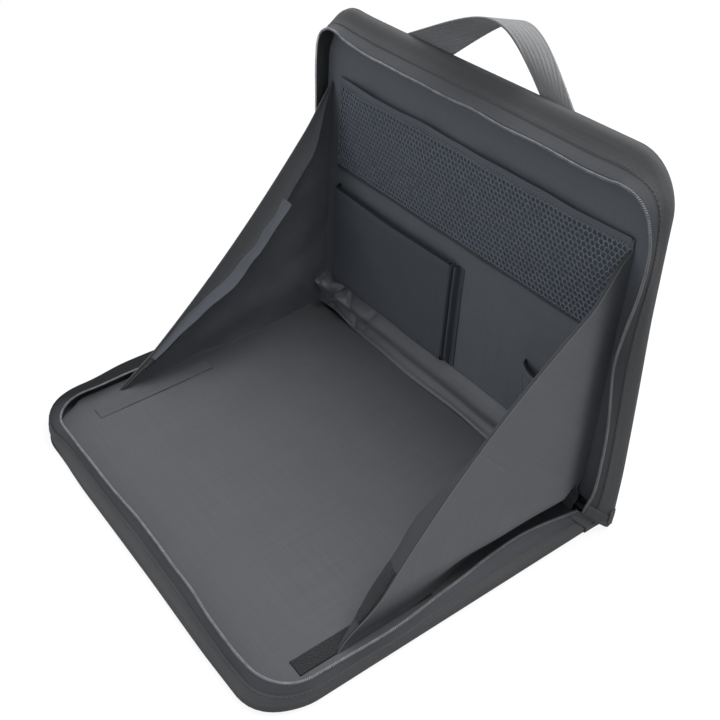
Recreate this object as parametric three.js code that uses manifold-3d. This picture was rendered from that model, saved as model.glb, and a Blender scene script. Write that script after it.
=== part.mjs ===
// A zip-round folding laptop desk: a soft-walled tray, a back panel hinged to it by cloth, and two gussets
// that hold the back open. Millimetres, X along the fold, -Y to the front, +Z up, origin under the tray.
import * as THREE from 'three';
import Module from 'manifold-3d';
import { mergeVertices } from 'three/addons/utils/BufferGeometryUtils.js';

const wasm = await Module();
wasm.setup();

// Driving dimensions of the two halves
const WIDTH = 400;
const DEPTH = 305;
const CORNER_RADIUS = 40;
const WALL_HEIGHT = 22;
const SIDE_DRAW = 5;
const FRONT_DRAW = 11;
const TOP_DROOP = 21;
const LEAN_ANGLE = 8;
const ZIP_GAP = 2.4;
const CLEARANCE = 0.3;

// Layers of each half, and the parts of its wall
const COVER_THICKNESS = 1.2;
const BOARD_THICKNESS = 3;
const LINING_THICKNESS = 1;
const BOARD_SETBACK = 18;
const PIPING_RADIUS = 1.5;
const BAND_THICKNESS = 1.8;
const TAPE_THICKNESS = 0.9;
const TAPE_WIDTH = 9;
const TAPE_LAP = 3;
const CHAIN_WIDTH = 2.6;
const CHAIN_HEIGHT = 2.2;

// Cloth that crosses the fold
const SPINE_REACH = 16;
const SPINE_THICKNESS = 1;
const HINGE_LINING_THICKNESS = 1;
const HINGE_LINING_START = 21;
const HINGE_LINING_LAP = 9;
const HINGE_PLEAT_HEIGHT = 4;
const CORNER_PLEAT_THICKNESS = 1.6;

// Gussets: triangles whose free edge runs from the tray's side to the back's side
const GUSSET_INSET = 12;
const GUSSET_REACH = 236;
const GUSSET_THICKNESS = 1;
const GUSSET_SHARE = 0.95;
const GUSSET_BOW = 8;
const CREASE_GAP = 0.4;
const HEM_REACH = { left: 24, right: 15 };
const HEM_TIP = 2;
const HEM_TAPER = 62;
const HEM_DROOP = 5;
const HEM_THICKNESS = 1;
const HOOK_TAPE_START = 28;
const HOOK_TAPE_LENGTH = 44;
const HOOK_TAPE_MARGIN = 1;
const HOOK_TAPE_THICKNESS = 1.2;
const LOOP_TAPE_LENGTH = 116;
const LOOP_TAPE_WIDTH = 14;
const LOOP_TAPE_THICKNESS = 1.2;
const LOOP_TAPE_INSET = 22;
const LOOP_TAPE_FRONT = 38;

// Pockets on the back: inset from its side, width, and heights above the fold
const POCKET_DEPTH = 7;
const POCKET_PANEL = 1.2;
const POCKET_SKIRT = 7;
const POCKET_HEM = { width: 7, thickness: 2.6 };
const MESH_POCKET = { inset: 24, foot: 160, mouth: 240 };
const PHONE_POCKET = { inset: 28, width: 174, foot: 42, mouth: 140 };
const PHONE_PLEAT = { slot: 4, rib: 9, width: 13, thickness: 1 };
const CARD_POCKET = { inset: 28, width: 74, foot: 42, mouth: 98 };
const PATCH_CORNER = 1.2;
const NET_THICKNESS = 0.8;
const NET_PITCH = { across: 14, up: 6.6 };
const NET_STRAND = 1.6;
const NET_MARGIN = 3;

// Handle, zip slider and pull
const HANDLE_ROOT = 2;
const HANDLE_FRONT_EDGE = { left: -97, right: 64, crown: { x: 15, rise: 42, out: 10.4 } };
const HANDLE_REAR_EDGE = { left: -38, right: 97, crown: { x: 27.5, rise: 41, out: -11.6 } };
const WEBBING_THICKNESS = 2.2;
const HANDLE_TAB_LENGTH = 26;
const HANDLE_TAB_GAP = 1.8;
const SLIDER_PARK = 32;
const SLIDER_LENGTH = 11;
const SLIDER_HEIGHT = 7;
const SLIDER_PLATE = 1.2;
const SLIDER_POST = { length: 3, height: 1.4 };
const SLIDER_RUN_GAP = 0.5;
const BAIL = { inner: 2.3, outer: 3.5, lift: 1.3, width: 1.6 };
const PULL = { length: 22, width: 7, thickness: 1.4, bar: 0.7, slot: 5, slotWidth: 2.8 };

// Counts of steps round curves
const CORNER_STEPS = 7;
const PATCH_CORNER_STEPS = 3;
const WALL_LEVELS = 3;
const ROUND_SIDES = 8;
const GUSSET_STEPS = 8;
const PLEAT_STEPS = 14;
const HANDLE_STEPS = 28;

// Colours of the cloth, tapes and metal
const CLOTH = { color: '#3c3e43', roughness: 0.9, metalness: 0 };
const LINING_CLOTH = { color: '#45474c', roughness: 0.92, metalness: 0 };
const TRIM_CLOTH = { color: '#2c2d31', roughness: 0.88, metalness: 0 };
const SATIN_CLOTH = { color: '#54565b', roughness: 0.7, metalness: 0 };
const NET_CLOTH = { color: '#22242b', roughness: 0.85, metalness: 0 };
const HOOK_AND_LOOP = { color: '#1b1b1e', roughness: 0.96, metalness: 0 };
const WEBBING = { color: '#4a4c50', roughness: 0.85, metalness: 0 };
const BOARD = { color: '#6d6a64', roughness: 0.8, metalness: 0 };
const NYLON = { color: '#37393d', roughness: 0.5, metalness: 0 };
const BLACK_METAL = { color: '#26272a', roughness: 0.4, metalness: 0.8 };

const { degToRad, lerp, smoothstep } = THREE.MathUtils;

// The fold line lies in the plane where the two rims meet; each half is mitred from it to its hinge edge
const foldHeight = WALL_HEIGHT + ZIP_GAP / 2;
const mitreAngle = degToRad((90 + LEAN_ANGLE) / 2);
const foldSetback = foldHeight / Math.tan(mitreAngle);
const mitreLength = foldHeight / Math.sin(mitreAngle);
const lean = degToRad(LEAN_ANGLE);

// Heights of the layers above the outer face of a half
const boardFoot = COVER_THICKNESS + CLEARANCE;
const boardTop = boardFoot + BOARD_THICKNESS;
const liningFoot = boardTop + CLEARANCE;
const floorHeight = liningFoot + LINING_THICKNESS;
const pipingFoot = CLEARANCE / 2;
const bandFoot = pipingFoot + 2 * PIPING_RADIUS + CLEARANCE;
const tapeTop = WALL_HEIGHT - CHAIN_HEIGHT - CLEARANCE;
const tapeFoot = tapeTop - TAPE_WIDTH;
const bandTop = tapeFoot + TAPE_LAP;
const tapeInset = BAND_THICKNESS + CLEARANCE;
const edgeInset = 2 * PIPING_RADIUS + CLEARANCE;

// A point of the tray or of the back in the YZ plane, from its distance from the hinge edge and its height
const trayPoint = (reach, height) => new THREE.Vector2(DEPTH / 2 - reach, height);
const backPoint = (reach, height) => new THREE.Vector2(
  DEPTH / 2 + reach * Math.sin(lean) - height * Math.cos(lean),
  reach * Math.cos(lean) + height * Math.sin(lean),
);

// A point from its distance behind the fold line along the mitre, and its offset towards the back
const foldPoint = (along, across) => new THREE.Vector2(
  DEPTH / 2 - foldSetback + along * Math.cos(mitreAngle) + across * Math.sin(mitreAngle),
  foldHeight - along * Math.sin(mitreAngle) + across * Math.cos(mitreAngle),
);

// How far from the hinge edge a half starts at a height, with a gap square to the mitre
const mitre = (height, gap) => (height * foldSetback + gap * mitreLength) / foldHeight;

// How far the wall leans in at a height; front is 0 along the sides and 1 along the far edge
const drawnIn = (height, farDraw, front) => {
  const draw = lerp(SIDE_DRAW, farDraw, front);
  return CLEARANCE + draw * (height / WALL_HEIGHT) ** 2;
};

const inYZ = (x, point) => new THREE.Vector3(x, point.x, point.y);

// Turns a closed geometry the right way out
function facingOut(geometry) {
  const corner = [0, 1, 2].map(() => new THREE.Vector3());
  const index = geometry.index.array;
  let volume = 0;
  for (let i = 0; i < index.length; i += 3) {
    corner.forEach((point, k) => point.fromBufferAttribute(geometry.attributes.position, index[i + k]));
    volume += corner[0].dot(corner[1].cross(corner[2]));
  }
  if (volume < 0) {
    index.reverse();
  }
  return geometry;
}

// Skins a row of equal rings into one closed solid; outline is a ring's flat shape, for the two end caps
function loft(rings, outline) {
  const count = outline.length;
  const last = (rings.length - 1) * count;
  const index = [];
  for (let start = 0; start < last; start += count) {
    for (let i = 0; i < count; i += 1) {
      const a = start + i;
      const b = start + ((i + 1) % count);
      index.push(a, b, b + count, a, b + count, a + count);
    }
  }
  const backwards = THREE.ShapeUtils.isClockWise(outline);
  for (const face of THREE.ShapeUtils.triangulateShape(outline, [])) {
    const [i, j, k] = backwards ? face.slice().reverse() : face;
    index.push(k, j, i, last + i, last + j, last + k);
  }
  const geometry = new THREE.BufferGeometry().setFromPoints(rings.flat());
  geometry.setIndex(index);
  return facingOut(geometry);
}

// The outline of a strip of even thickness along a flat row of points
function ribbon(points, thickness) {
  const normals = points.map((point, k) => {
    const before = points[Math.max(k - 1, 0)];
    const after = points[Math.min(k + 1, points.length - 1)];
    const along = after.clone().sub(before).normalize();
    return new THREE.Vector2(-along.y, along.x).multiplyScalar(thickness / 2);
  });
  const near = points.map((point, k) => point.clone().sub(normals[k]));
  const far = points.map((point, k) => point.clone().add(normals[k]));
  return [...near, ...far.reverse()];
}

// A YZ outline carried along X, and an XZ outline carried along Y
const alongX = (outline, from, to) => loft([from, to].map((x) => outline.map((p) => inYZ(x, p))), outline);
const alongY = (outline, from, to) => loft(
  [from, to].map((y) => outline.map((p) => new THREE.Vector3(p.x, y, p.y))),
  outline,
);

const toManifold = (geometry) => {
  const bare = geometry.clone();
  bare.deleteAttribute('normal');
  bare.deleteAttribute('uv');
  const merged = mergeVertices(bare, 1e-4);
  const vertProperties = new Float32Array(merged.attributes.position.array);
  const triVerts = new Uint32Array(merged.index.array);
  return new wasm.Manifold(new wasm.Mesh({ numProp: 3, vertProperties, triVerts }));
};

// Several closed geometries fused into one
function join(...geometries) {
  const mesh = geometries.map(toManifold).reduce((sum, next) => sum.add(next)).getMesh();
  const geometry = new THREE.BufferGeometry();
  geometry.setAttribute('position', new THREE.BufferAttribute(mesh.vertProperties, 3));
  geometry.setIndex(new THREE.BufferAttribute(mesh.triVerts, 1));
  return geometry;
}

function piece(name, geometry, look) {
  const mesh = new THREE.Mesh(geometry, new THREE.MeshStandardMaterial(look));
  mesh.name = name;
  return mesh;
}

// Stations round the three walled sides, from the fold on the right to the fold on the left
function rimStations() {
  const half = WIDTH / 2;
  const straight = DEPTH - CORNER_RADIUS;
  const side = (sign, reach) => ({ x: sign * half, reach, inX: -sign, inReach: 0, front: 0 });
  const corner = (sign, step) => {
    const angle = (Math.PI / 2) * (step / CORNER_STEPS);
    const [cos, sin] = [Math.cos(angle), Math.sin(angle)];
    return {
      x: sign * (half - CORNER_RADIUS * (1 - cos)),
      reach: straight + CORNER_RADIUS * sin,
      inX: -sign * cos,
      inReach: -sin,
      front: sin ** 2,
    };
  };
  const turn = (sign) => Array.from({ length: CORNER_STEPS + 1 }, (_, step) => corner(sign, step));
  const middle = { x: 0, reach: DEPTH, inX: 0, inReach: -1, front: 1 };
  return [
    side(1, 0), side(1, straight / 2), ...turn(1), middle,
    ...turn(-1).reverse(), side(-1, straight / 2), side(-1, 0),
  ];
}

// A wall piece: its section, in insets and heights, carried round the rim and mitred at the fold
function rimSweep(section) {
  const stations = rimStations();
  const gap = CORNER_PLEAT_THICKNESS / 2 + CLEARANCE;
  const rings = stations.map((station, k) => section(station.front).map((point) => {
    const atFold = k === 0 || k === stations.length - 1;
    const reach = atFold ? mitre(point.y, gap) : station.reach + station.inReach * point.x;
    return new THREE.Vector3(station.x + station.inX * point.x, -reach, point.y);
  }));
  return loft(rings, section(0));
}

// Section of a cloth strip that follows the wall between two heights, set in by an offset
const wallStrip = (foot, top, offset, thickness, farDraw) => (front) => {
  const outer = Array.from({ length: WALL_LEVELS + 1 }, (_, k) => {
    const height = lerp(foot, top, k / WALL_LEVELS);
    return new THREE.Vector2(drawnIn(height, farDraw, front) + offset, height);
  });
  const inner = outer.map((point) => new THREE.Vector2(point.x + thickness, point.y));
  return [...outer, ...inner.reverse()];
};

// Section of a round cord about a middle
const roundSection = (x, y, width, tall) => Array.from({ length: ROUND_SIDES }, (_, k) => {
  const angle = 2 * Math.PI * ((k + 0.5) / ROUND_SIDES);
  return new THREE.Vector2(x + (width / 2) * Math.cos(angle), y + (tall / 2) * Math.sin(angle));
});

// A flat sheet of a half, with its two far corners rounded
function sheet(start, sideInset, farInset, foot, thickness) {
  const half = WIDTH / 2 - sideInset;
  const far = DEPTH - farInset;
  const shape = new THREE.Shape();
  shape.moveTo(-half, -start);
  shape.lineTo(-half, -far + CORNER_RADIUS);
  shape.absarc(-half + CORNER_RADIUS, -far + CORNER_RADIUS, CORNER_RADIUS, Math.PI, 1.5 * Math.PI, false);
  shape.absarc(half - CORNER_RADIUS, -far + CORNER_RADIUS, CORNER_RADIUS, 1.5 * Math.PI, 2 * Math.PI, false);
  shape.lineTo(half, -start);
  const geometry = new THREE.ExtrudeGeometry(shape, {
    depth: thickness, bevelEnabled: false, curveSegments: CORNER_STEPS,
  });
  return geometry.translate(0, 0, foot);
}

const chainInset = (farDraw, front) => drawnIn(WALL_HEIGHT, farDraw, front) + tapeInset + TAPE_THICKNESS / 2;

// One half of the case, lying on its outer face with its hinge edge on the X axis
function half(prefix, farDraw) {
  const innerFace = (height, front) => (
    Math.max(edgeInset, drawnIn(height, farDraw, front) + BAND_THICKNESS + CLEARANCE)
  );
  const layer = (foot, thickness) => sheet(
    BOARD_SETBACK, innerFace(foot + thickness, 0), innerFace(foot + thickness, 1), foot, thickness,
  );
  const cover = sheet(SPINE_REACH + CLEARANCE, edgeInset, edgeInset, 0, COVER_THICKNESS);
  const piping = () => roundSection(
    PIPING_RADIUS, pipingFoot + PIPING_RADIUS, 2 * PIPING_RADIUS, 2 * PIPING_RADIUS,
  );
  const chain = (front) => roundSection(
    chainInset(farDraw, front), WALL_HEIGHT - CHAIN_HEIGHT / 2, CHAIN_WIDTH, CHAIN_HEIGHT,
  );
  const band = wallStrip(bandFoot, bandTop, 0, BAND_THICKNESS, farDraw);
  const tape = wallStrip(tapeFoot, tapeTop, tapeInset, TAPE_THICKNESS, farDraw);
  return [
    piece(`${prefix}_cover`, cover, CLOTH),
    piece(`${prefix}_board`, layer(boardFoot, BOARD_THICKNESS), BOARD),
    piece(`${prefix}_lining`, layer(liningFoot, LINING_THICKNESS), LINING_CLOTH),
    piece(`${prefix}_band`, rimSweep(band), CLOTH),
    piece(`${prefix}_zip_tape`, rimSweep(tape), TRIM_CLOTH),
    piece(`${prefix}_zip_chain`, rimSweep(chain), NYLON),
    piece(`${prefix}_piping`, rimSweep(piping), TRIM_CLOTH),
  ];
}

// Outer spine: wraps the hinge corner from the tray's cover to the back's
function spineStrip() {
  const [outer, inner] = [CLEARANCE, CLEARANCE + SPINE_THICKNESS];
  const outline = [
    trayPoint(SPINE_REACH, outer),
    trayPoint(mitre(outer, 0), outer),
    backPoint(SPINE_REACH, outer),
    backPoint(SPINE_REACH, inner),
    trayPoint(mitre(inner, 0), inner),
    trayPoint(SPINE_REACH, inner),
  ];
  const half = WIDTH / 2 - edgeInset;
  return piece('spine_strip', alongX(outline, -half, half), CLOTH);
}

// Inner hinge lining: lapped on both floors, with a soft pleat between
function hingeLining() {
  const lapHeight = floorHeight + CLEARANCE + HINGE_LINING_THICKNESS / 2;
  const far = HINGE_LINING_START + HINGE_LINING_LAP;
  const setback = foldSetback - HINGE_LINING_START;
  const drop = foldHeight - lapHeight;
  const chord = setback * Math.cos(mitreAngle) + drop * Math.sin(mitreAngle);
  const reach = drop * Math.cos(mitreAngle) - setback * Math.sin(mitreAngle);
  const pleat = Array.from({ length: PLEAT_STEPS + 1 }, (_, k) => {
    const across = lerp(-reach, reach, k / PLEAT_STEPS);
    const rise = (HINGE_PLEAT_HEIGHT / 2) * (1 - Math.cos((2 * Math.PI * across) / reach));
    return foldPoint(chord - rise, across);
  });
  const line = [trayPoint(far, lapHeight), ...pleat, backPoint(far, lapHeight)];
  const half = WIDTH / 2 - GUSSET_INSET - GUSSET_THICKNESS - HEM_THICKNESS - 2 * CLEARANCE;
  return piece('hinge_lining', alongX(ribbon(line, HINGE_LINING_THICKNESS), -half, half), SATIN_CLOTH);
}

// Corner pleat: fills the mitred notch between the two side walls
function cornerPleat(hand) {
  const sign = hand === 'right' ? 1 : -1;
  const thick = CORNER_PLEAT_THICKNESS / 2;
  const rings = Array.from({ length: WALL_LEVELS + 1 }, (_, k) => {
    const height = lerp(bandFoot, WALL_HEIGHT, k / WALL_LEVELS);
    const outer = WIDTH / 2 - drawnIn(height, FRONT_DRAW, 0);
    const inner = outer - BAND_THICKNESS;
    const along = (foldHeight - height) / Math.sin(mitreAngle);
    return [[outer, -thick], [outer, thick], [inner, thick], [inner, -thick]].map(
      ([x, across]) => inYZ(sign * x, foldPoint(along, across)),
    );
  });
  const outline = [[0, 0], [0, 1], [1, 1], [1, 0]].map(([x, y]) => new THREE.Vector2(x, y));
  return piece(`corner_pleat_${hand}`, loft(rings, outline), CLOTH);
}

// One half of a gusset as a surface: along runs from its tip to the crease, width in from the free edge
function gussetSurface(hand, part) {
  const sign = hand === 'right' ? 1 : -1;
  const footHeight = floorHeight + CLEARANCE;
  const aside = (CREASE_GAP / 2) * (part === 'lower' ? -1 : 1);
  const shift = foldPoint(0, aside).sub(foldPoint(0, 0));
  const tips = [trayPoint(GUSSET_REACH, footHeight), backPoint(GUSSET_REACH, footHeight)];
  const tip = part === 'lower' ? tips[0] : tips[1];
  const middle = tips[0].clone().add(tips[1]).multiplyScalar(0.5).add(shift);
  const corner = foldPoint((foldHeight - footHeight) / Math.sin(mitreAngle), aside);
  const edgePoint = (along) => tip.clone().lerp(middle, along);
  const at = (along, width, inward) => {
    const edge = edgePoint(along);
    const length = edge.distanceTo(corner);
    const share = 1 - width / length;
    const bow = GUSSET_BOW * share ** 2 * Math.sin((Math.PI / 2) * along);
    return inYZ(sign * (WIDTH / 2 - GUSSET_INSET - bow - inward), corner.clone().lerp(edge, share));
  };
  const rayLength = (along) => edgePoint(along).distanceTo(corner);
  const edgeLength = tip.distanceTo(middle);
  const hemReach = (along) => (
    lerp(HEM_TIP, HEM_REACH[hand], smoothstep(along * edgeLength, 0, HEM_TAPER))
  );
  const hemSlope = HEM_DROOP / HEM_REACH[hand];
  return { at, rayLength, edgeLength, hemReach, hemSlope };
}

const stripOutline = (count) => Array.from({ length: 2 * count }, (_, k) => (
  k < count ? new THREE.Vector2(k, 0) : new THREE.Vector2(2 * count - 1 - k, 1)
));

function gussetCloth(hand, part) {
  const surface = gussetSurface(hand, part);
  const steps = Array.from({ length: GUSSET_STEPS + 1 }, (_, k) => k / GUSSET_STEPS);
  const rings = steps.map((step) => {
    const row = (inward) => steps.map((along) => (
      surface.at(along, surface.rayLength(along) * GUSSET_SHARE * (1 - step), inward)
    ));
    return [...row(0), ...row(GUSSET_THICKNESS).reverse()];
  });
  return piece(`gusset_${hand}_${part}`, loft(rings, stripOutline(steps.length)), CLOTH);
}

// A strip along a gusset's free edge, turned inwards and drooping; lift is how far it lies over the edge
function turnedStrip(name, surface, [from, to], lift, margin, thickness, look) {
  const start = GUSSET_THICKNESS + CLEARANCE;
  const rings = Array.from({ length: GUSSET_STEPS + 1 }, (_, k) => {
    const along = lerp(from, to, k / GUSSET_STEPS);
    const reach = surface.hemReach(along);
    const corner = (inward, height) => (
      surface.at(along, surface.hemSlope * inward - height, start + inward)
    );
    return [
      corner(margin, lift),
      corner(reach - margin, lift),
      corner(reach - margin, lift + thickness),
      corner(margin, lift + thickness),
    ];
  });
  return piece(name, loft(rings, stripOutline(2)), look);
}

const gussetHem = (hand, part) => turnedStrip(
  `gusset_hem_${hand}_${part}`, gussetSurface(hand, part), [0, 1],
  -HEM_THICKNESS, 0, HEM_THICKNESS, TRIM_CLOTH,
);

function hookTape(hand) {
  const surface = gussetSurface(hand, 'lower');
  const ends = [HOOK_TAPE_START, HOOK_TAPE_START + HOOK_TAPE_LENGTH].map((end) => end / surface.edgeLength);
  return turnedStrip(
    `hook_tape_${hand}`, surface, ends, CLEARANCE, HOOK_TAPE_MARGIN, HOOK_TAPE_THICKNESS, HOOK_AND_LOOP,
  );
}

// A flat patch between two X and two Y values, with its two low corners rounded
function patch(area, height, thickness, radius) {
  const { left, right, foot, mouth } = area;
  const shape = new THREE.Shape();
  shape.moveTo(right, mouth);
  shape.lineTo(left, mouth);
  shape.lineTo(left, foot + radius);
  shape.absarc(left + radius, foot + radius, radius, Math.PI, 1.5 * Math.PI, false);
  shape.absarc(right - radius, foot + radius, radius, 1.5 * Math.PI, 2 * Math.PI, false);
  const geometry = new THREE.ExtrudeGeometry(shape, {
    depth: thickness, bevelEnabled: false, curveSegments: PATCH_CORNER_STEPS,
  });
  return geometry.translate(0, 0, height);
}

function loopTape(hand) {
  const sign = hand === 'right' ? 1 : -1;
  const middle = sign * (WIDTH / 2 - LOOP_TAPE_INSET - LOOP_TAPE_WIDTH / 2);
  const front = LOOP_TAPE_FRONT - DEPTH / 2;
  const area = {
    left: middle - LOOP_TAPE_WIDTH / 2,
    right: middle + LOOP_TAPE_WIDTH / 2,
    foot: front,
    mouth: front + LOOP_TAPE_LENGTH,
  };
  const geometry = patch(area, floorHeight + CLEARANCE, LOOP_TAPE_THICKNESS, PATCH_CORNER);
  return piece(`loop_tape_${hand}`, geometry, HOOK_AND_LOOP);
}

const pocketFloor = floorHeight + CLEARANCE;
const pocketFace = floorHeight + POCKET_DEPTH;

// Outline of a sewn skirt: it falls from a pocket's panel to the lining, outwards from an edge
function skirtOutline(edge, outwards) {
  const middle = POCKET_PANEL / 2;
  const top = new THREE.Vector2(edge + outwards * (CLEARANCE + middle), pocketFace + middle);
  const foot = new THREE.Vector2(edge + outwards * (CLEARANCE + POCKET_SKIRT), pocketFloor + middle);
  return ribbon([top, foot], POCKET_PANEL);
}

const sideSkirt = (name, pocket, edge, outwards, look) => piece(
  name, alongY(skirtOutline(edge, outwards), pocket.foot, pocket.mouth), look,
);

const footSkirt = (name, pocket, look) => piece(
  name, alongX(skirtOutline(pocket.foot, -1), pocket.left, pocket.right), look,
);

// Rolled hem along a pocket's mouth
function mouthHem(name, pocket, look) {
  const middle = pocket.mouth + CLEARANCE + POCKET_HEM.width / 2;
  const { width, thickness } = POCKET_HEM;
  const outline = roundSection(middle, pocketFace + thickness / 2, width, thickness);
  return piece(name, alongX(outline, pocket.left, pocket.right), look);
}

// The net: a flat sheet with rows of diamond gaps, each row shifted half a pitch from the last
function net(pocket) {
  const shape = new THREE.Shape();
  shape.moveTo(pocket.left, pocket.foot);
  shape.lineTo(pocket.right, pocket.foot);
  shape.lineTo(pocket.right, pocket.mouth);
  shape.lineTo(pocket.left, pocket.mouth);
  const wide = NET_PITCH.across / 2 - NET_STRAND;
  const tall = NET_PITCH.up - NET_STRAND;
  const rows = Math.floor((pocket.mouth - pocket.foot - 2 * (NET_MARGIN + tall)) / NET_PITCH.up) + 1;
  const columns = Math.floor((pocket.right - pocket.left - 2 * (NET_MARGIN + wide)) / NET_PITCH.across) + 1;
  const middle = new THREE.Vector2((pocket.left + pocket.right) / 2, (pocket.foot + pocket.mouth) / 2);
  for (let row = 0; row < rows; row += 1) {
    const count = columns - (row % 2);
    const y = middle.y + (row - (rows - 1) / 2) * NET_PITCH.up;
    for (let k = 0; k < count; k += 1) {
      const x = middle.x + (k - (count - 1) / 2) * NET_PITCH.across;
      const corners = [[wide, 0], [0, tall], [-wide, 0], [0, -tall]];
      shape.holes.push(new THREE.Path(corners.map(([dx, dy]) => new THREE.Vector2(x + dx, y + dy))));
    }
  }
  const geometry = new THREE.ExtrudeGeometry(shape, { depth: NET_THICKNESS, bevelEnabled: false });
  return piece('mesh_pocket_net', geometry.translate(0, 0, pocketFace), NET_CLOTH);
}

const pocketPanel = (name, pocket) => piece(
  name, patch(pocket, pocketFace, POCKET_PANEL, PATCH_CORNER), LINING_CLOTH,
);

// Bellows on the right of the phone pocket: down into a slot, up to a rib and down to the lining
function phonePleat(pocket) {
  const middle = PHONE_PLEAT.thickness / 2;
  const start = pocket.right + CLEARANCE + middle;
  const [low, high] = [pocketFloor + middle, pocketFace + middle];
  const line = [[0, high], [PHONE_PLEAT.slot, low], [PHONE_PLEAT.rib, high], [PHONE_PLEAT.width, low]].map(
    ([across, height]) => new THREE.Vector2(start + across, height),
  );
  const outline = ribbon(line, PHONE_PLEAT.thickness);
  return piece('phone_pocket_pleat', alongY(outline, pocket.foot, pocket.mouth), LINING_CLOTH);
}

function pockets() {
  const half = WIDTH / 2;
  const mesh = { ...MESH_POCKET, left: MESH_POCKET.inset - half, right: half - MESH_POCKET.inset };
  const phone = { ...PHONE_POCKET, left: PHONE_POCKET.inset - half };
  phone.right = phone.left + phone.width;
  const card = { ...CARD_POCKET, right: half - CARD_POCKET.inset };
  card.left = card.right - card.width;
  return [
    net(mesh),
    mouthHem('mesh_pocket_hem', mesh, TRIM_CLOTH),
    footSkirt('mesh_pocket_foot', mesh, TRIM_CLOTH),
    sideSkirt('mesh_pocket_edge_left', mesh, mesh.left, -1, TRIM_CLOTH),
    sideSkirt('mesh_pocket_edge_right', mesh, mesh.right, 1, TRIM_CLOTH),
    pocketPanel('phone_pocket_panel', phone),
    mouthHem('phone_pocket_hem', phone, LINING_CLOTH),
    footSkirt('phone_pocket_foot', phone, LINING_CLOTH),
    sideSkirt('phone_pocket_edge', phone, phone.left, -1, LINING_CLOTH),
    phonePleat(phone),
    pocketPanel('card_pocket_panel', card),
    mouthHem('card_pocket_hem', card, LINING_CLOTH),
    footSkirt('card_pocket_foot', card, LINING_CLOTH),
    sideSkirt('card_pocket_edge_left', card, card.left, -1, LINING_CLOTH),
    sideSkirt('card_pocket_edge_right', card, card.right, 1, LINING_CLOTH),
  ];
}

// The handle's webbing lies behind the rear face and is sewn along a line just under the top edge
const webbingMiddle = -(CLEARANCE + WEBBING_THICKNESS / 2);
const handleLine = DEPTH - HANDLE_ROOT;

// An edge of the webbing: from the sewn line over its crown and back, with both pulls at one point
function handleEdge({ left, right, crown }) {
  const root = (x) => new THREE.Vector3(x, handleLine, webbingMiddle);
  const peak = new THREE.Vector3(crown.x, handleLine + crown.rise, webbingMiddle + crown.out)
    .multiplyScalar(8).sub(root(left)).sub(root(right)).divideScalar(6);
  return new THREE.CubicBezierCurve3(root(left), peak, peak, root(right));
}

const handleFront = handleEdge(HANDLE_FRONT_EDGE);
const handleRear = handleEdge(HANDLE_REAR_EDGE);
const handleAlong = (t) => handleFront.getTangent(t).add(handleRear.getTangent(t)).normalize();

// Webbing that leaves the left root flat, turns over half a turn on its way and lands flat on the right root
function handleStrap() {
  const rings = Array.from({ length: HANDLE_STEPS + 1 }, (_, k) => {
    const t = k / HANDLE_STEPS;
    const [front, rear] = [handleFront.getPoint(t), handleRear.getPoint(t)];
    const along = handleAlong(t);
    if (k % HANDLE_STEPS === 0) {
      along.setZ(0);
    }
    const through = along.cross(rear.clone().sub(front)).setLength(WEBBING_THICKNESS / 2);
    return [
      front.clone().sub(through), rear.clone().sub(through),
      rear.clone().add(through), front.clone().add(through),
    ];
  });
  return piece('handle_strap', loft(rings, stripOutline(2)), WEBBING);
}

// The sewn end of the webbing, which runs on from its root down the rear face
function handleTab(hand) {
  const along = handleAlong(hand === 'left' ? 0 : 1);
  const corner = (edge, drop) => new THREE.Vector2(
    edge[hand] - drop * (along.x / along.y), handleLine - drop,
  );
  const foot = HANDLE_TAB_GAP + HANDLE_TAB_LENGTH;
  const shape = new THREE.Shape([
    corner(HANDLE_FRONT_EDGE, HANDLE_TAB_GAP),
    corner(HANDLE_FRONT_EDGE, foot),
    corner(HANDLE_REAR_EDGE, foot),
    corner(HANDLE_REAR_EDGE, HANDLE_TAB_GAP),
  ]);
  const geometry = new THREE.ExtrudeGeometry(shape, { depth: WEBBING_THICKNESS, bevelEnabled: false });
  geometry.translate(0, 0, webbingMiddle - WEBBING_THICKNESS / 2);
  return piece(`handle_tab_${hand}`, geometry, WEBBING);
}

// Axes of a flat shape that stands on edge: its X along Y, its Y up, its thickness along X
const onEdge = new THREE.Matrix4().makeBasis(
  new THREE.Vector3(0, 1, 0), new THREE.Vector3(0, 0, 1), new THREE.Vector3(1, 0, 0),
);
// Axes of a flat shape that lies level: its X along Y, its Y along X, its thickness downwards
const level = new THREE.Matrix4().makeBasis(
  new THREE.Vector3(0, 1, 0), new THREE.Vector3(1, 0, 0), new THREE.Vector3(0, 0, -1),
);

const extrude = (shape, depth) => new THREE.ExtrudeGeometry(shape, {
  depth, bevelEnabled: false, curveSegments: ROUND_SIDES,
}).translate(0, 0, -depth / 2);

// A shape with straight sides and round ends, along X from one place to another
function stadium(from, to, width) {
  const radius = width / 2;
  const shape = new THREE.Shape();
  shape.absarc(from + radius, 0, radius, Math.PI / 2, 1.5 * Math.PI, false);
  shape.absarc(to - radius, 0, radius, 1.5 * Math.PI, 2.5 * Math.PI, false);
  return shape;
}

const plateMiddle = CHAIN_WIDTH / 2 + SLIDER_RUN_GAP + SLIDER_PLATE / 2;
const plateFace = plateMiddle + SLIDER_PLATE / 2;

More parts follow.
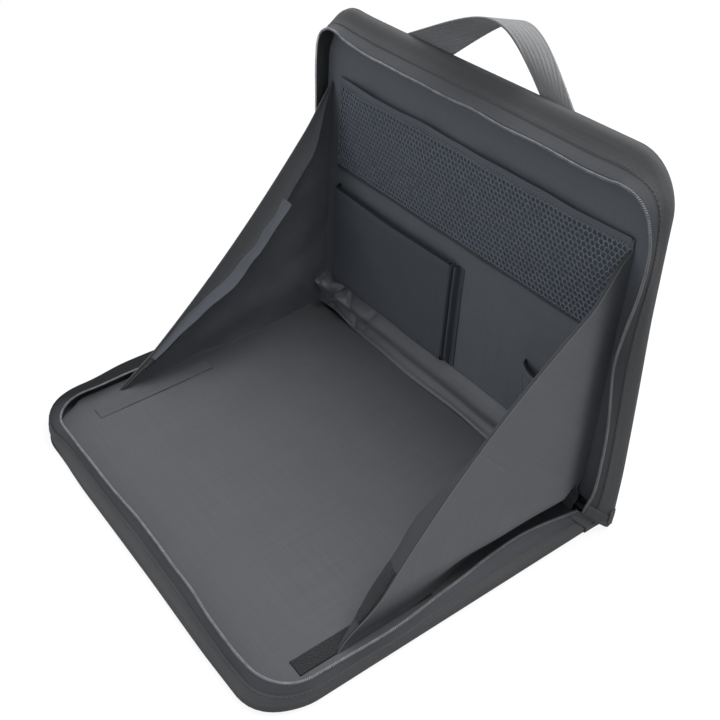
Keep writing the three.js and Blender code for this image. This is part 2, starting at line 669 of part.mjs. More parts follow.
// Zip slider, outer side towards +X: two plates, the post that parts the chains, and the bail for the pull
function zipSlider() {
  const plate = (x) => extrude(stadium(-SLIDER_LENGTH / 2, SLIDER_LENGTH / 2, SLIDER_HEIGHT), SLIDER_PLATE)
    .applyMatrix4(onEdge).translate(x, 0, 0);
  const post = new THREE.BoxGeometry(2 * plateMiddle, SLIDER_POST.length, SLIDER_POST.height);
  post.translate(0, SLIDER_LENGTH / 2 - SLIDER_POST.length, 0);
  const arch = new THREE.Shape();
  const root = -BAIL.lift - SLIDER_PLATE / 2;
  arch.moveTo(BAIL.outer, root);
  arch.absarc(0, 0, BAIL.outer, 0, Math.PI, false);
  arch.lineTo(-BAIL.outer, root);
  arch.lineTo(-BAIL.inner, root);
  arch.absarc(0, 0, BAIL.inner, Math.PI, 0, true);
  arch.lineTo(BAIL.inner, root);
  const bail = extrude(arch, BAIL.width).applyMatrix4(level).translate(plateFace + BAIL.lift, 0, 0);
  return piece('zip_slider', join(plate(-plateMiddle), plate(plateMiddle), post, bail), BLACK_METAL);
}

// Pull, about the bar that turns under the bail
function zipPull() {
  const tab = new THREE.Shape();
  tab.moveTo(PULL.length - PULL.width / 2, -PULL.width / 2);
  tab.absarc(PULL.length - PULL.width / 2, 0, PULL.width / 2, -Math.PI / 2, Math.PI / 2, false);
  tab.lineTo(-PULL.bar, PULL.width / 2);
  tab.lineTo(-PULL.bar, -PULL.width / 2);
  const slot = [[PULL.bar, -1], [PULL.bar + PULL.slot, -1], [PULL.bar + PULL.slot, 1], [PULL.bar, 1]];
  tab.holes.push(new THREE.Path(slot.map(([x, side]) => new THREE.Vector2(x, (side * PULL.slotWidth) / 2))));
  return piece('zip_pull', extrude(tab, PULL.thickness).applyMatrix4(onEdge), BLACK_METAL);
}

// The slider is parked at the fold on the left, turned so that its bail is outside
function zipHardware() {
  const group = new THREE.Group();
  group.position.set(chainInset(FRONT_DRAW, 0) - WIDTH / 2, DEPTH / 2 - SLIDER_PARK, foldHeight);
  group.rotation.z = Math.PI;
  const pull = zipPull();
  pull.position.x = plateFace + BAIL.lift;
  group.add(zipSlider(), pull);
  return group;
}

const tray = new THREE.Group();
tray.position.y = DEPTH / 2;
tray.add(...half('tray', FRONT_DRAW));

// The back stands on the hinge edge: X as on the tray, Y up its height, Z out of its lining
const back = new THREE.Group();
back.position.y = DEPTH / 2;
back.rotation.x = Math.PI / 2 - lean;
const backHalf = new THREE.Group();
backHalf.rotation.z = Math.PI;
backHalf.add(...half('back', TOP_DROOP));
back.add(backHalf, ...pockets(), handleStrap(), handleTab('left'), handleTab('right'));

const desk = new THREE.Group();
desk.name = 'car_laptop_desk';
desk.add(tray, back, spineStrip(), hingeLining(), zipHardware());
for (const hand of ['left', 'right']) {
  desk.add(loopTape(hand), hookTape(hand), cornerPleat(hand));
  for (const part of ['lower', 'upper']) {
    desk.add(gussetCloth(hand, part), gussetHem(hand, part));
  }
}

export default desk;
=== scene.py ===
# A zip-round folding laptop desk in charcoal cloth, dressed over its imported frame. Shapes are worked out in
# millimetres and written to the meshes in metres.
import math

import bmesh
import bpy
import numpy as np
from mathutils import Matrix


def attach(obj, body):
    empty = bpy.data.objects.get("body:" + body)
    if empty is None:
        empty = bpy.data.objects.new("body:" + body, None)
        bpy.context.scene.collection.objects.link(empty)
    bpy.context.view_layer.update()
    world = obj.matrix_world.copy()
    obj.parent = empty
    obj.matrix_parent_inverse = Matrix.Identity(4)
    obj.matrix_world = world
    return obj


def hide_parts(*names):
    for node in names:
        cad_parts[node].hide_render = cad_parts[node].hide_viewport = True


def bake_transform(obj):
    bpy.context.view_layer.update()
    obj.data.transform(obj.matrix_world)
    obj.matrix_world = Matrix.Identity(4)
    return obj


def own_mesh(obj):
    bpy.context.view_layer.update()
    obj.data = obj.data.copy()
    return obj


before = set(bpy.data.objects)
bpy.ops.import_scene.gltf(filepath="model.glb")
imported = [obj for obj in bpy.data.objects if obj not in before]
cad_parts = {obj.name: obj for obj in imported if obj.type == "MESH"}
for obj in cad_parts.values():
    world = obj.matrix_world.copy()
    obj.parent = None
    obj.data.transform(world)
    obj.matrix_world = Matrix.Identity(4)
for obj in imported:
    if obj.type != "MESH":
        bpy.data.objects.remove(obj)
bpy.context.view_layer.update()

MM = 0.001
HALVES = ("tray", "back")

# Sizes of the two halves, as in the frame; FLOOR is the height of a lining over the outer face
HALF_WIDTH, DEPTH, CORNER = 200.0, 305.0, 40.0
FLOOR = 5.8
LEAN = math.radians(8)
FOLD_HEIGHT = 23.2
MITRE = math.radians(49)
FOLD_SETBACK = FOLD_HEIGHT / math.tan(MITRE)
FOLD_RADIUS = FOLD_HEIGHT / math.sin(MITRE)
FOLD_ANGLE = math.radians(98)
GUSSET_X, GUSSET_REACH, GUSSET_BOW = 188.0, 236.0, 12.0


def stacked(*parts):
    return np.stack(np.broadcast_arrays(*parts), -1).astype(float)


def tray(x, u, v):
    """A point of the tray: u is its distance from the hinge edge, v its height over the outer face."""
    return stacked(x, DEPTH / 2 - u, v)


def back(x, u, v):
    """The same of the back, which leans on the hinge edge."""
    return stacked(
        x,
        DEPTH / 2 + u * math.sin(LEAN) - v * math.cos(LEAN),
        u * math.cos(LEAN) + v * math.sin(LEAN),
    )


def fold(x, along, across):
    """A point from its distance behind the fold axis along the mitre, and its offset towards the back."""
    return stacked(
        x,
        DEPTH / 2 - FOLD_SETBACK + along * math.cos(MITRE) + across * math.sin(MITRE),
        FOLD_HEIGHT - along * math.sin(MITRE) + across * math.cos(MITRE),
    )


PLACE = {"tray": tray, "back": back}
# The way from a half's outer face to its lining
UP = {half: PLACE[half](0, 0, 1) - PLACE[half](0, 0, 0) for half in HALVES}
BACK_OUT = UP["back"]


def smoothstep(t, low=0.0, high=1.0):
    t = np.clip((t - low) / (high - low), 0, 1)
    return t * t * (3 - 2 * t)


def ripple(seed, x, y, size, waves=9):
    """Smooth seeded noise of about unit height, made of a few crossing waves."""
    rng = np.random.default_rng(seed)
    total = 0.0
    for _ in range(waves):
        angle, phase = rng.uniform(0, 2 * math.pi, 2)
        rate = 2 * math.pi / size * rng.uniform(0.6, 1.5)
        total = total + np.sin(rate * (x * math.cos(angle) + y * math.sin(angle)) + phase)
    return total / math.sqrt(waves)


def curve(points, count):
    """A smooth curve through points, evenly spaced."""
    points = np.asarray(points, float)
    ends = np.vstack([2 * points[0] - points[1], points, 2 * points[-1] - points[-2]])
    t = np.linspace(0, len(points) - 1, 24 * len(points))
    k = np.minimum(t.astype(int), len(points) - 2)
    f = (t - k)[:, None]
    a, b, c, d = (ends[k + i] for i in range(4))
    line = 0.5 * (
        2 * b + (c - a) * f + (2 * a - 5 * b + 4 * c - d) * f**2 + (3 * b - a - 3 * c + d) * f**3
    )
    return spaced(line, count)


def lengths(line):
    return np.concatenate([[0], np.cumsum(np.linalg.norm(np.diff(line, axis=0), axis=1))])


def spaced(line, count):
    run = lengths(line)
    at = np.linspace(0, run[-1], count)
    return np.stack([np.interp(at, run, line[:, k]) for k in range(line.shape[1])], -1)


def unit(v):
    return v / np.maximum(np.linalg.norm(v, axis=-1, keepdims=True), 1e-9)


def table(pairs):
    at, value = zip(*pairs)
    return lambda t: np.interp(t, at, value)


# Meshes


def link(name, data):
    obj = bpy.data.objects.new(name, data)
    bpy.context.scene.collection.objects.link(obj)
    return obj


def add_object(name, parts, look, slot, body, *nodes):
    """A piece from its (verts, faces, uv), riding on a body unless that is None, in place of some nodes."""
    verts, faces, uv = parts
    mesh = bpy.data.meshes.new(name)
    mesh.from_pydata((verts * MM).tolist(), [], faces)
    work = bmesh.new()
    work.from_mesh(mesh)
    bmesh.ops.recalc_face_normals(work, faces=work.faces)
    work.to_mesh(mesh)
    work.free()
    corner = np.empty(len(mesh.loops), int)
    mesh.loops.foreach_get("vertex_index", corner)
    layer = mesh.uv_layers.new(name="UVMap")
    layer.data.foreach_set("uv", (uv[corner] * MM).ravel())
    mesh.materials.append(look)
    mesh.shade_smooth()
    obj = link(name, mesh)
    if body:
        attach(obj, body)
    if nodes:
        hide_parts(*nodes)
    return obj


def bordered(grid, axis, near=0.5):
    """A grid with one more row close to each of two borders, so that only the rim itself looks round."""
    grid = np.moveaxis(grid, axis, 0)
    share = [min(0.5, near / max(np.linalg.norm(a[..., :3] - b[..., :3], axis=-1).mean(), 1e-6))
             for a, b in ((grid[0], grid[1]), (grid[-1], grid[-2]))]
    first = grid[:1] + (grid[1:2] - grid[:1]) * share[0]
    last = grid[-1:] + (grid[-2:-1] - grid[-1:]) * share[1]
    return np.moveaxis(np.concatenate([grid[:1], first, grid[1:-1], last, grid[-1:]]), 0, axis)


def slab(name, grid, thick, look, slot, body, *nodes):
    """A closed sheet of cloth about a grid of points, with a rounded rim."""
    thick = np.broadcast_to(thick, grid.shape[:2])
    grid = bordered(bordered(np.concatenate([grid, thick[..., None]], -1), 0), 1)
    grid, half = grid[..., :3], grid[..., 3:] / 2
    rows, cols = grid.shape[:2]
    down, over = np.gradient(grid, axis=0), np.gradient(grid, axis=1)
    normal = unit(np.cross(down, over))
    index = np.arange(rows * cols).reshape(rows, cols)
    out = np.zeros_like(grid)
    out[0] -= unit(down[0])
    out[-1] += unit(down[-1])
    out[:, 0] -= unit(over[:, 0])
    out[:, -1] += unit(over[:, -1])
    loop = np.concatenate([index[0, :-1], index[:-1, -1], index[-1, :0:-1], index[:0:-1, 0]])
    rim_edge = grid.reshape(-1, 3)[loop] + unit(out.reshape(-1, 3)[loop]) * half.reshape(-1, 1)[loop]
    skins = [(grid + way * normal * half).reshape(-1, 3) for way in (1, -1)]
    quads = np.stack([index[:-1, :-1], index[1:, :-1], index[1:, 1:], index[:-1, 1:]], -1).reshape(-1, 4)
    n = rows * cols
    k = np.arange(len(loop))
    after = np.roll(k, -1)
    edge = np.stack([loop, loop[after], 2 * n + after, 2 * n + k], -1)
    under = np.stack([n + loop[after], n + loop, 2 * n + k, 2 * n + after], -1)
    faces = np.vstack([quads, quads[:, ::-1] + n, edge, under])
    steps = (np.diff(grid, axis=k, prepend=grid.take([0], k)) for k in (1, 0))
    runs = [np.cumsum(np.linalg.norm(step, axis=-1), axis=k) for k, step in zip((1, 0), steps)]
    uv = np.stack(runs, -1).reshape(-1, 2)
    parts = np.vstack([*skins, rim_edge]), faces.tolist(), np.vstack([uv, uv, uv[loop]])
    return add_object(name, parts, look, slot, body, *nodes)


def frames(path, up):
    """Sides and uprights along a path, carried along it without twist."""
    tangent = unit(np.gradient(path, axis=0))
    upright = np.empty_like(path)
    for k, t in enumerate(tangent):
        up = up - t * np.dot(up, t)
        up = up / np.linalg.norm(up)
        upright[k] = up
    return np.cross(tangent, upright), upright


def ring_faces(rings, sides):
    """Faces between rings of points that follow each other."""
    k = np.arange(rings - 1)[:, None] * sides
    i = np.arange(sides)[None]
    j = (i + 1) % sides
    return np.stack([k + i, k + j, k + sides + j, k + sides + i], -1).reshape(-1, 4).tolist()


def tube_parts(path, radius, sides, up):
    side, upright = frames(path, up)
    n = len(path)
    angle = 2 * math.pi * np.arange(sides) / sides
    ring = side[:, None] * np.cos(angle)[:, None] + upright[:, None] * np.sin(angle)[:, None]
    verts = np.vstack([(path[:, None] + ring * radius).reshape(-1, 3), path[0], path[-1]])
    faces = ring_faces(n, sides)
    end = (n - 1) * sides
    for i in range(sides):
        j = (i + 1) % sides
        faces += [[n * sides, j, i], [n * sides + 1, end + i, end + j]]
    uv = stacked((angle * radius)[None], lengths(path)[:, None]).reshape(-1, 2)
    return verts, faces, np.vstack([uv, uv[:1], uv[-1:]])


STITCH_PITCH, STITCH_LENGTH, STITCH_RADIUS, STITCH_SIDES = 3.4, 2.5, 0.34, 5
# Rings of a stitch: the place along it, and its thickness and rise there, as shares of its own sizes
STITCH_RINGS = ((-1, 0.35, -0.6), (-0.55, 0.95, 0.05), (0, 1, 0.25), (0.55, 0.95, 0.05), (1, 0.35, -0.6))


def stitches(name, rows, body):
    """Rows of stitches, each a path and the way out of its cloth: short threads that dip in at both ends."""
    places = []
    for path, normal in rows:
        run = lengths(path)
        count = int(run[-1] / STITCH_PITCH)
        at = (np.arange(count) + 0.5) * run[-1] / count
        pick = lambda a: np.stack([np.interp(at, run, a[:, k]) for k in range(3)], -1)
        along, up = unit(pick(np.gradient(path, axis=0))), unit(pick(np.broadcast_to(normal, path.shape)))
        places.append(np.stack([pick(path), along, np.cross(along, up), up]))
    middle, along, side, up = np.concatenate(places, 1)[:, :, None]
    angle = 2 * math.pi * np.arange(STITCH_SIDES) / STITCH_SIDES
    shape = np.array([
        (place * STITCH_LENGTH / 2, thick * STITCH_RADIUS * math.cos(a),
         STITCH_RADIUS * (rise + thick * math.sin(a)))
        for place, thick, rise in STITCH_RINGS for a in angle])
    verts = middle + along * shape[:, :1] + side * shape[:, 1:2] + up * shape[:, 2:]
    index = list(range(len(shape)))
    one = ring_faces(len(STITCH_RINGS), STITCH_SIDES) + [index[:STITCH_SIDES][::-1], index[-STITCH_SIDES:]]
    faces = [[i + len(shape) * s for i in face] for s in range(len(middle)) for face in one]
    parts = verts.reshape(-1, 3), faces, np.tile(shape[:, :2], (len(middle), 1))
    add_object(name, parts, THREAD, "trim", body)


# Materials


def colour(text):
    rgb = [int(text[i:i + 2], 16) / 255 for i in (1, 3, 5)]
    return [c / 12.92 if c <= 0.04045 else ((c + 0.055) / 1.055) ** 2.4 for c in rgb] + [1.0]


class Nodes:
    """Makes and links the nodes of a tree."""

    def __init__(self, tree):
        self.tree = tree

    def set(self, socket, value):
        if isinstance(value, bpy.types.NodeSocket):
            self.tree.links.new(value, socket)
        else:
            socket.default_value = value

    def node(self, kind, inputs=(), **settings):
        """Makes a node and gives its outputs."""
        node = self.tree.nodes.new(kind)
        for key, value in settings.items():
            setattr(node, key, value)
        for key, value in dict(inputs).items():
            self.set(node.inputs[key], value)
        return node.outputs

    def math(self, operation, *values):
        return self.node("ShaderNodeMath", enumerate(values), operation=operation)[0]

    def seen_directly(self):
        """1 for rays that show a picture of the backdrop: from the camera, a mirror or glass."""
        ray = self.node("ShaderNodeLightPath")
        bounced = self.math("MAXIMUM", ray["Is Glossy Ray"], ray["Is Transmission Ray"])
        return self.math("MAXIMUM", ray["Is Camera Ray"], bounced)

    def show(self, output, factor, a, b):
        """Mixes two shaders into the tree's output."""
        mixed = self.node("ShaderNodeMixShader", {0: factor, 1: a, 2: b})[0]
        self.set(self.tree.nodes[output].inputs[0], mixed)


class Look(Nodes):
    """A material whose colour and relief come from nodes."""

    def __init__(self, name, roughness, metallic=0.0, sheen=0.0, specular=0.35):
        self.material = bpy.data.materials.new(name)
        self.material.use_nodes = True
        super().__init__(self.material.node_tree)
        self.shader = self.tree.nodes["Principled BSDF"]
        for key, value in (("Roughness", roughness), ("Metallic", metallic), ("Sheen Weight", sheen),
                           ("Sheen Roughness", 0.5), ("Specular IOR Level", specular)):
            self.set(self.shader.inputs[key], value)

    def place(self):
        """Where a point lies on the cloth, across and along, in metres."""
        uv = self.node("ShaderNodeUVMap", uv_map="UVMap")[0]
        split = self.node("ShaderNodeSeparateXYZ", {0: uv})
        return uv, split[0], split[1]

    def noise(self, vector, scale, detail=3.0, low=0.35, high=0.65):
        noise = self.node("ShaderNodeTexNoise", {"Vector": vector, "Scale": scale, "Detail": detail})[0]
        return self.node("ShaderNodeMapRange", {0: noise, 1: low, 2: high})[0]

    def mix(self, factor, a, b, blend="MIX"):
        return self.node("ShaderNodeMix", {0: factor, 6: a, 7: b}, data_type="RGBA", blend_type=blend)[2]

    def stretched(self, vector, x, y):
        return self.node("ShaderNodeVectorMath", {0: vector, 1: (x, y, 1.0)}, operation="MULTIPLY")[0]

    def bump(self, height, strength, distance):
        bump = self.node("ShaderNodeBump", {"Strength": strength, "Distance": distance, "Height": height})
        self.set(self.shader.inputs["Normal"], bump[0])

    def paint(self, value):
        self.set(self.shader.inputs["Base Color"], value)
        return self.material


def woven(name, base, light, pitch, roughness, sheen=0.0, relief=0.5, ribs=0.0, specular=0.3, painted_light_ramp=None):
    """Cloth of crossing threads: a plain weave with uneven threads and soft, wide mottling. Its last argument
    gives two places along the cloth in metres, and the share of its tone that is left from the second one on:
    painted shade where that share is under 1, painted light where it is over 1."""
    mottle, rough_spread = 0.09, 0.12
    look = Look(name, roughness, sheen=sheen, specular=specular)
    uv, x, y = look.place()
    rate = math.pi / (pitch * MM)
    over = look.math("MULTIPLY", *(look.math("SINE", look.math("MULTIPLY", a, rate)) for a in (x, y)))
    height = look.math("ABSOLUTE", over)
    thread_width, thread_length = 1 / (2.2 * pitch * MM), 8.0
    warp = look.noise(look.stretched(uv, thread_width, thread_length), 1.0, 1.0)
    weft = look.noise(look.stretched(uv, thread_length, thread_width), 1.0, 1.0)
    top = look.node("ShaderNodeMapRange", {0: over, 1: -0.3, 2: 0.3})[0]
    thread = look.node("ShaderNodeMix", {0: top, 2: warp, 3: weft}, data_type="FLOAT")[0]
    # Lighter on the crowns of the threads and darker where they dip: painted light and shade of the weave's
    # relief, over threads of uneven tone
    shade = look.math("ADD", look.math("MULTIPLY", thread, 0.3), look.math("MULTIPLY", height, 0.6))
    cloth = look.mix(shade, colour(base), colour(light))
    wide = look.noise(uv, 26.0, 4.0)
    tone = look.math("MULTIPLY_ADD", wide, mottle, 1 - mottle / 2)
    # Painted shade and painted light: the tone steps down or up along the cloth between two places
    if painted_light_ramp:
        start, end, left = painted_light_ramp
        share = look.node("ShaderNodeMapRange", {0: y, 1: start, 2: end, 3: 1.0, 4: left})[0]
        tone = look.math("MULTIPLY", tone, share)
    grey = look.node("ShaderNodeCombineColor", {0: tone, 1: tone, 2: tone})[0]
    cloth = look.mix(1.0, cloth, grey, "MULTIPLY")
    rough = look.math("MULTIPLY_ADD", wide, rough_spread, roughness - rough_spread / 2)
    look.set(look.shader.inputs["Roughness"], rough)
    if ribs:
        rib = look.math("SINE", look.math("MULTIPLY", x, 2 * math.pi / (ribs * MM)))
        height = look.math("MULTIPLY_ADD", rib, 1.2, height)
    look.bump(height, relief, 0.35 * pitch * MM)
    return look.paint(cloth)


CLOTH = woven("oxford_cloth", "#3e3f41", "#535455", 0.9, 0.82, sheen=0.05)
# One lining cloth in two copies: the back's is lighter and bluer than the tray's, painted light for the
# upright back
LININGS = {"tray": woven("lining_cloth", "#484a4e", "#595b5f", 0.6, 0.8, sheen=0.05, relief=0.35),
           "back": woven("back_lining_cloth", "#575b61", "#6b6f75", 0.6, 0.8, sheen=0.05, relief=0.35)}
GUSSET = woven("gusset_cloth", "#585a5e", "#6b6d71", 0.7, 0.78, sheen=0.06, relief=0.35)
TRIM = woven("trim_tape", "#37383b", "#4a4b4e", 0.8, 0.8)
# Two copies of one zip tape. The tray's is darkened to 0.22 of its tone along its flopped left wall, and the
# back's stays dark along its right side and is 1.85 times as light from there on: painted shade and painted
# light
TAPES = {"tray": woven("zip_tape", "#434549", "#56585d", 0.7, 0.88, relief=0.4, specular=0.1,
                       painted_light_ramp=(0.6, 0.67, 0.22)),
         "back": woven("back_zip_tape", "#303134", "#3f4043", 0.7, 0.82, relief=0.4,
                       painted_light_ramp=(0.2, 0.32, 1.85))}
SATIN = woven("satin_lining", "#5a5c61", "#6c6e73", 0.45, 0.5, sheen=0.08, relief=0.2, specular=0.5)
FACING = woven("facing_cloth", "#43464c", "#55585f", 0.45, 0.65, sheen=0.06, relief=0.2)
WEBBING = woven("webbing", "#66676a", "#8e8f91", 1.3, 0.72, sheen=0.12, ribs=3.2)
POCKET = woven("pocket_cloth", "#41454c", "#52565d", 0.6, 0.8, sheen=0.05, relief=0.35)
# Near black: painted shade of the pocket mouths, on the hems along their inner side
MOUTH_SHADE_BINDING = woven("pocket_hem_painted_shade", "#1d1f22", "#2c2e32", 0.5, 0.85, relief=0.4)


def pile(name, base, light):
    """Hook or loop pile: dense specks of thread."""
    look = Look(name, 0.95, sheen=0.15, specular=0.15)
    uv, _, _ = look.place()
    fine = look.noise(uv, 1500.0, 4.0, 0.3, 0.7)
    tuft = look.node("ShaderNodeTexVoronoi", {"Vector": uv, "Scale": 900.0})[0]
    look.bump(look.math("ADD", fine, tuft), 0.9, 0.0006)
    return look.paint(look.mix(fine, colour(base), colour(light)))


HOOK_PILE = pile("hook_pile", "#131417", "#2b2c30")
LOOP_PILES = {"right": pile("loop_pile", "#191a1d", "#323337"),
              "left": pile("loop_pile_lining", "#45474b", "#5a5c60")}


def plain(name, base, light, roughness, scale, metallic=0.0, relief=0.15, specular=0.4):
    """A moulded or painted surface with fine grain and faint wear."""
    look = Look(name, roughness, metallic=metallic, specular=specular)
    where = look.node("ShaderNodeTexCoord")["Object"]
    grain = look.noise(where, scale, 5.0, 0.3, 0.7)
    wide = look.noise(where, scale / 14, 3.0)
    look.set(look.shader.inputs["Roughness"], look.math("MULTIPLY_ADD", wide, 0.2, roughness - 0.1))
    look.bump(grain, relief, 0.0002)
    return look.paint(look.mix(look.math("MULTIPLY", grain, wide), colour(base), colour(light)))


NYLON = plain("nylon_coil", "#7b7d80", "#a9abae", 0.42, 2500.0, specular=0.5)
NET = plain("net_yarn", "#6b717c", "#9298a4", 0.6, 4000.0)
THREAD = plain("sewing_thread", "#3d3e42", "#5f6064", 0.7, 5000.0)
BOARD = plain("fibre_board", "#5f5c56", "#7d7a73", 0.85, 900.0, relief=0.3)
LACQUER = plain("black_lacquer", "#1c1d1f", "#3a3b3e", 0.34, 1600.0, metallic=0.75, relief=0.1)

# The rigid pieces keep their solids
NODE_LOOKS = {"tray_board": BOARD, "back_board": BOARD, "zip_slider": LACQUER, "zip_pull": LACQUER}
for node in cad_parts.values():
    if node.name in NODE_LOOKS:
        node.data.materials.clear()
        node.data.materials.append(NODE_LOOKS[node.name])

# The rim of a half: stations from the fold on the right, round the far edge, to the fold on the left

RIM_HEIGHT = 20.7
SIDE_RUN = DEPTH - CORNER
CORNER_RUN = CORNER * math.pi / 2
RIM_RUN = 2 * SIDE_RUN + 2 * CORNER_RUN + 2 * (HALF_WIDTH - CORNER)


def rim(count):
    """Distance along it, the edge's x and reach, the way in, and front: 0 at a side, 1 at the far edge."""
    s = np.linspace(0, RIM_RUN, count)
    m = np.minimum(s, RIM_RUN - s)
    hand = np.where(s <= RIM_RUN / 2, 1.0, -1.0)
    angle = np.clip((m - SIDE_RUN) / CORNER, 0, math.pi / 2)
    far = np.clip(m - SIDE_RUN - CORNER_RUN, 0, None)
    x = hand * (HALF_WIDTH - CORNER * (1 - np.cos(angle)) - far)
    u = np.minimum(m, SIDE_RUN) + CORNER * np.sin(angle)
    return s, x, u, -hand * np.cos(angle), -np.sin(angle), np.sin(angle) ** 2


# Sections of the soft wall from its foot to its rim, as (inset, height), at a side and at the far edge
SIDE_BAND = [(0.9, 1.5), (0.1, 3.2), (0.3, 7.0), (1.5, 10.6), (2.8, 13.4)]
SIDE_TAPE = [(2.5, 11.2), (3.5, 13.6), (4.9, 16.8), (6.0, 18.9), (6.6, 20.0)]
SECTIONS = {
    "tray": {
        "band": (SIDE_BAND, [(-4.3, 1.4), (-5.1, 2.9), (-4.2, 5.6), (-1.6, 8.8), (0.2, 11.2), (1.3, 13.2)]),
        "tape": (SIDE_TAPE, [(1.2, 11.2), (2.1, 13.4), (3.1, 16.0), (4.1, 18.4), (4.8, 20.0)]),
        "coil": ([(6.9, RIM_HEIGHT)], [(5.2, RIM_HEIGHT)]),
        "piping": ([(1.5, 1.0)], [(-3.5, 1.0)]),
    },
    "back": {
        "band": (SIDE_BAND, [(0.5, 0.8), (0.5, 2.6), (1.7, 5.2), (5.4, 7.6), (10.4, 10.2), (15.4, 13.9)]),
        "tape": (SIDE_TAPE, [(11.6, 10.4), (15.6, 13.5), (19.3, 16.7), (22.6, 19.6)]),
        "coil": ([(6.9, RIM_HEIGHT)], [(23.6, RIM_HEIGHT)]),
        "piping": ([(1.5, 1.0)], [(0.7, 0.7)]),
    },
}

# The tray's left wall flopped outward, its tape turned in over it, as (inset, share of the flop, height)
FLOP_SECTIONS = {
    "band": [(0.9, 0.0, 1.5), (0.2, 0.25, 5.0), (0.0, 0.6, 10.0), (0.2, 0.88, 14.2), (0.6, 1.0, 17.2)],
    "tape": [(1.0, 0.96, 15.6), (0.5, 1.0, 18.4), (1.3, 0.9, 19.2), (3.8, 0.5, 18.9), (7.2, 0.05, 18.8)],
    "coil": [(8.0, 0.0, 19.5)],
}

# Along the rim, as the photo shows it: how far in the coil lies, how far the foot is pushed out and raised.
# Then, for the tray's left wall: how far it flops out, its roll at the corner, and its share of the flop
RIM_INSET = {
    "tray": table([(0, 7), (8, 9), (20, 12.5), (35, 15.5), (57, 17), (87, 14.8), (123, 11.8), (160, 8.4),
                   (178, 5.9), (193, 4.4), (225, 6.4), (265, 7.2), (290, 9), (310, 10), (330, 9.2),
                   (345, 7.8), (385, 7.6), (435, 9.2), (497, 8.3), (520, 6.9), (550, 5), (594, 4.4),
                   (623, 3.4), (645, 1.5), (668, 2), (690, 5), (712, 6.9), (976, 6.9)]),
    "back": table([(0, 5), (12, 1), (25, -2), (45, -3.2), (66, -2.4), (84, -1.2), (101, 0), (116, 2.6),
                   (146, 6.6), (176, 3.6), (203, -0.3), (242, -3.5), (256, -1), (272, 6.5), (287, 14),
                   (306, 21.5), (329, 25), (352, 25.8), (382, 25.3), (441, 24.6), (473, 24.4), (564, 25),
                   (609, 23.6), (648, 20.6), (670, 14), (691, 4), (720, 2.6), (780, 5), (976, 7)]),
}
FOOT_OUT = {
    "tray": table([(0, -1.4), (300, -1.4), (330, -0.5), (372, 1.5), (455, 2.5), (528, 4.4), (583, 6),
                   (625, 5.5), (679, 6.8), (715, 4), (760, 1.5), (850, 0), (976, -1)]),
    "back": table([(0, 7), (45, 6.5), (90, 5), (128, 3.5), (188, 1), (224, 0.5), (262, -0.6), (300, -1),
                   (583, -1), (640, -0.6), (680, 3), (800, 3), (900, 5), (976, 6)]),
}
FOOT_RISE = {
    "tray": table([(0, 0)]),
    "back": table([(0, -5), (45, -5), (128, -3), (188, -1), (230, 0), (746, 0), (788, -1), (848, -3),
                   (976, -5)]),
}
FLOP_OUT = table([(620, 2), (650, 4), (680, 5), (705, 5), (728, 7), (755, 10.5), (782, 11), (803, 9.2),
                  (860, 7), (930, 1), (976, 0)])
CORNER_ROLL = table([(610, 0), (650, 4), (690, 4.5), (730, 1), (760, 0)])
FLOP_SHARE = table([(615, 0), (680, 1), (900, 1), (960, 0)])
RIM_SEED = {"tray": 3, "back": 4}
WALL_END = 1.45  # how far a wall stays off the fold's mitre


def along_rim(values, s):
    """Values at stations of the rim, evened out over their neighbours."""
    width = max(len(s) // 50, 1)
    kernel = np.hanning(2 * width + 3)[1:-1]
    padded = np.pad(values(s), width, mode="edge")
    return np.convolve(padded, kernel / kernel.sum(), "valid")[:, None]


def flopped(section, s, flop):
    """A section with the flopped one mixed in along the tray's left side."""
    out = along_rim(FLOP_OUT, s)
    roll = along_rim(CORNER_ROLL, s) * np.sin(math.pi * np.clip(flop[None, :, 2] / RIM_HEIGHT, 0, 1))
    target = stacked(flop[None, :, 0] - out * flop[None, :, 1] - roll, flop[None, :, 2])
    return section + (target - section) * along_rim(FLOP_SHARE, s)[..., None]


def wall(half, part, count, levels=1):
    """A grid of the wall: along the rim, and from the foot of a part of its section to its top."""
    s, x, u, in_x, in_u, front = rim(count)
    x, u, in_x, in_u, front = (a[:, None] for a in (x, u, in_x, in_u, smoothstep(front)))
    shape = lambda points: curve(points, levels) if levels > 1 else np.array(points, float)
    side, far = (shape(points) for points in SECTIONS[half][part])
    section = side + (far - side) * front[..., None]
    if half == "tray" and part in FLOP_SECTIONS:
        section = flopped(section, s, shape(FLOP_SECTIONS[part]))
    inset, height = section[..., 0], section[..., 1]
    low = np.clip(1 - height / RIM_HEIGHT, 0, 1)
    seed = RIM_SEED[half]
    side, far = (points[0][0] for points in SECTIONS[half]["coil"])
    lean = along_rim(RIM_INSET[half], s) - (side + (far - side) * front)
    lean = lean + 0.3 * ripple(seed, s, 0 * s, 90)[:, None]
    wave = 0.25 * ripple(seed + 10, s[:, None], 4 * height, 60) * smoothstep(height, 3, 9)
    inset = inset + lean * (1 - low) ** 2 - along_rim(FOOT_OUT[half], s) * low**1.3 + wave
    height = height + along_rim(FOOT_RISE[half], s) * low
    start = np.maximum(height, 0) * FOLD_SETBACK / FOLD_HEIGHT + WALL_END + 2 * np.maximum(-height, 0)
    reach = np.where(u < SIDE_RUN, start + u * (1 - start / SIDE_RUN), u)
    return PLACE[half](x + in_x * inset, reach + in_u * inset, height)


COIL_WIDTH, COIL_HEIGHT, COIL_PITCH, COIL_WIRE, COIL_STEPS = 1.9, 1.4, 1.6, 0.38, 7


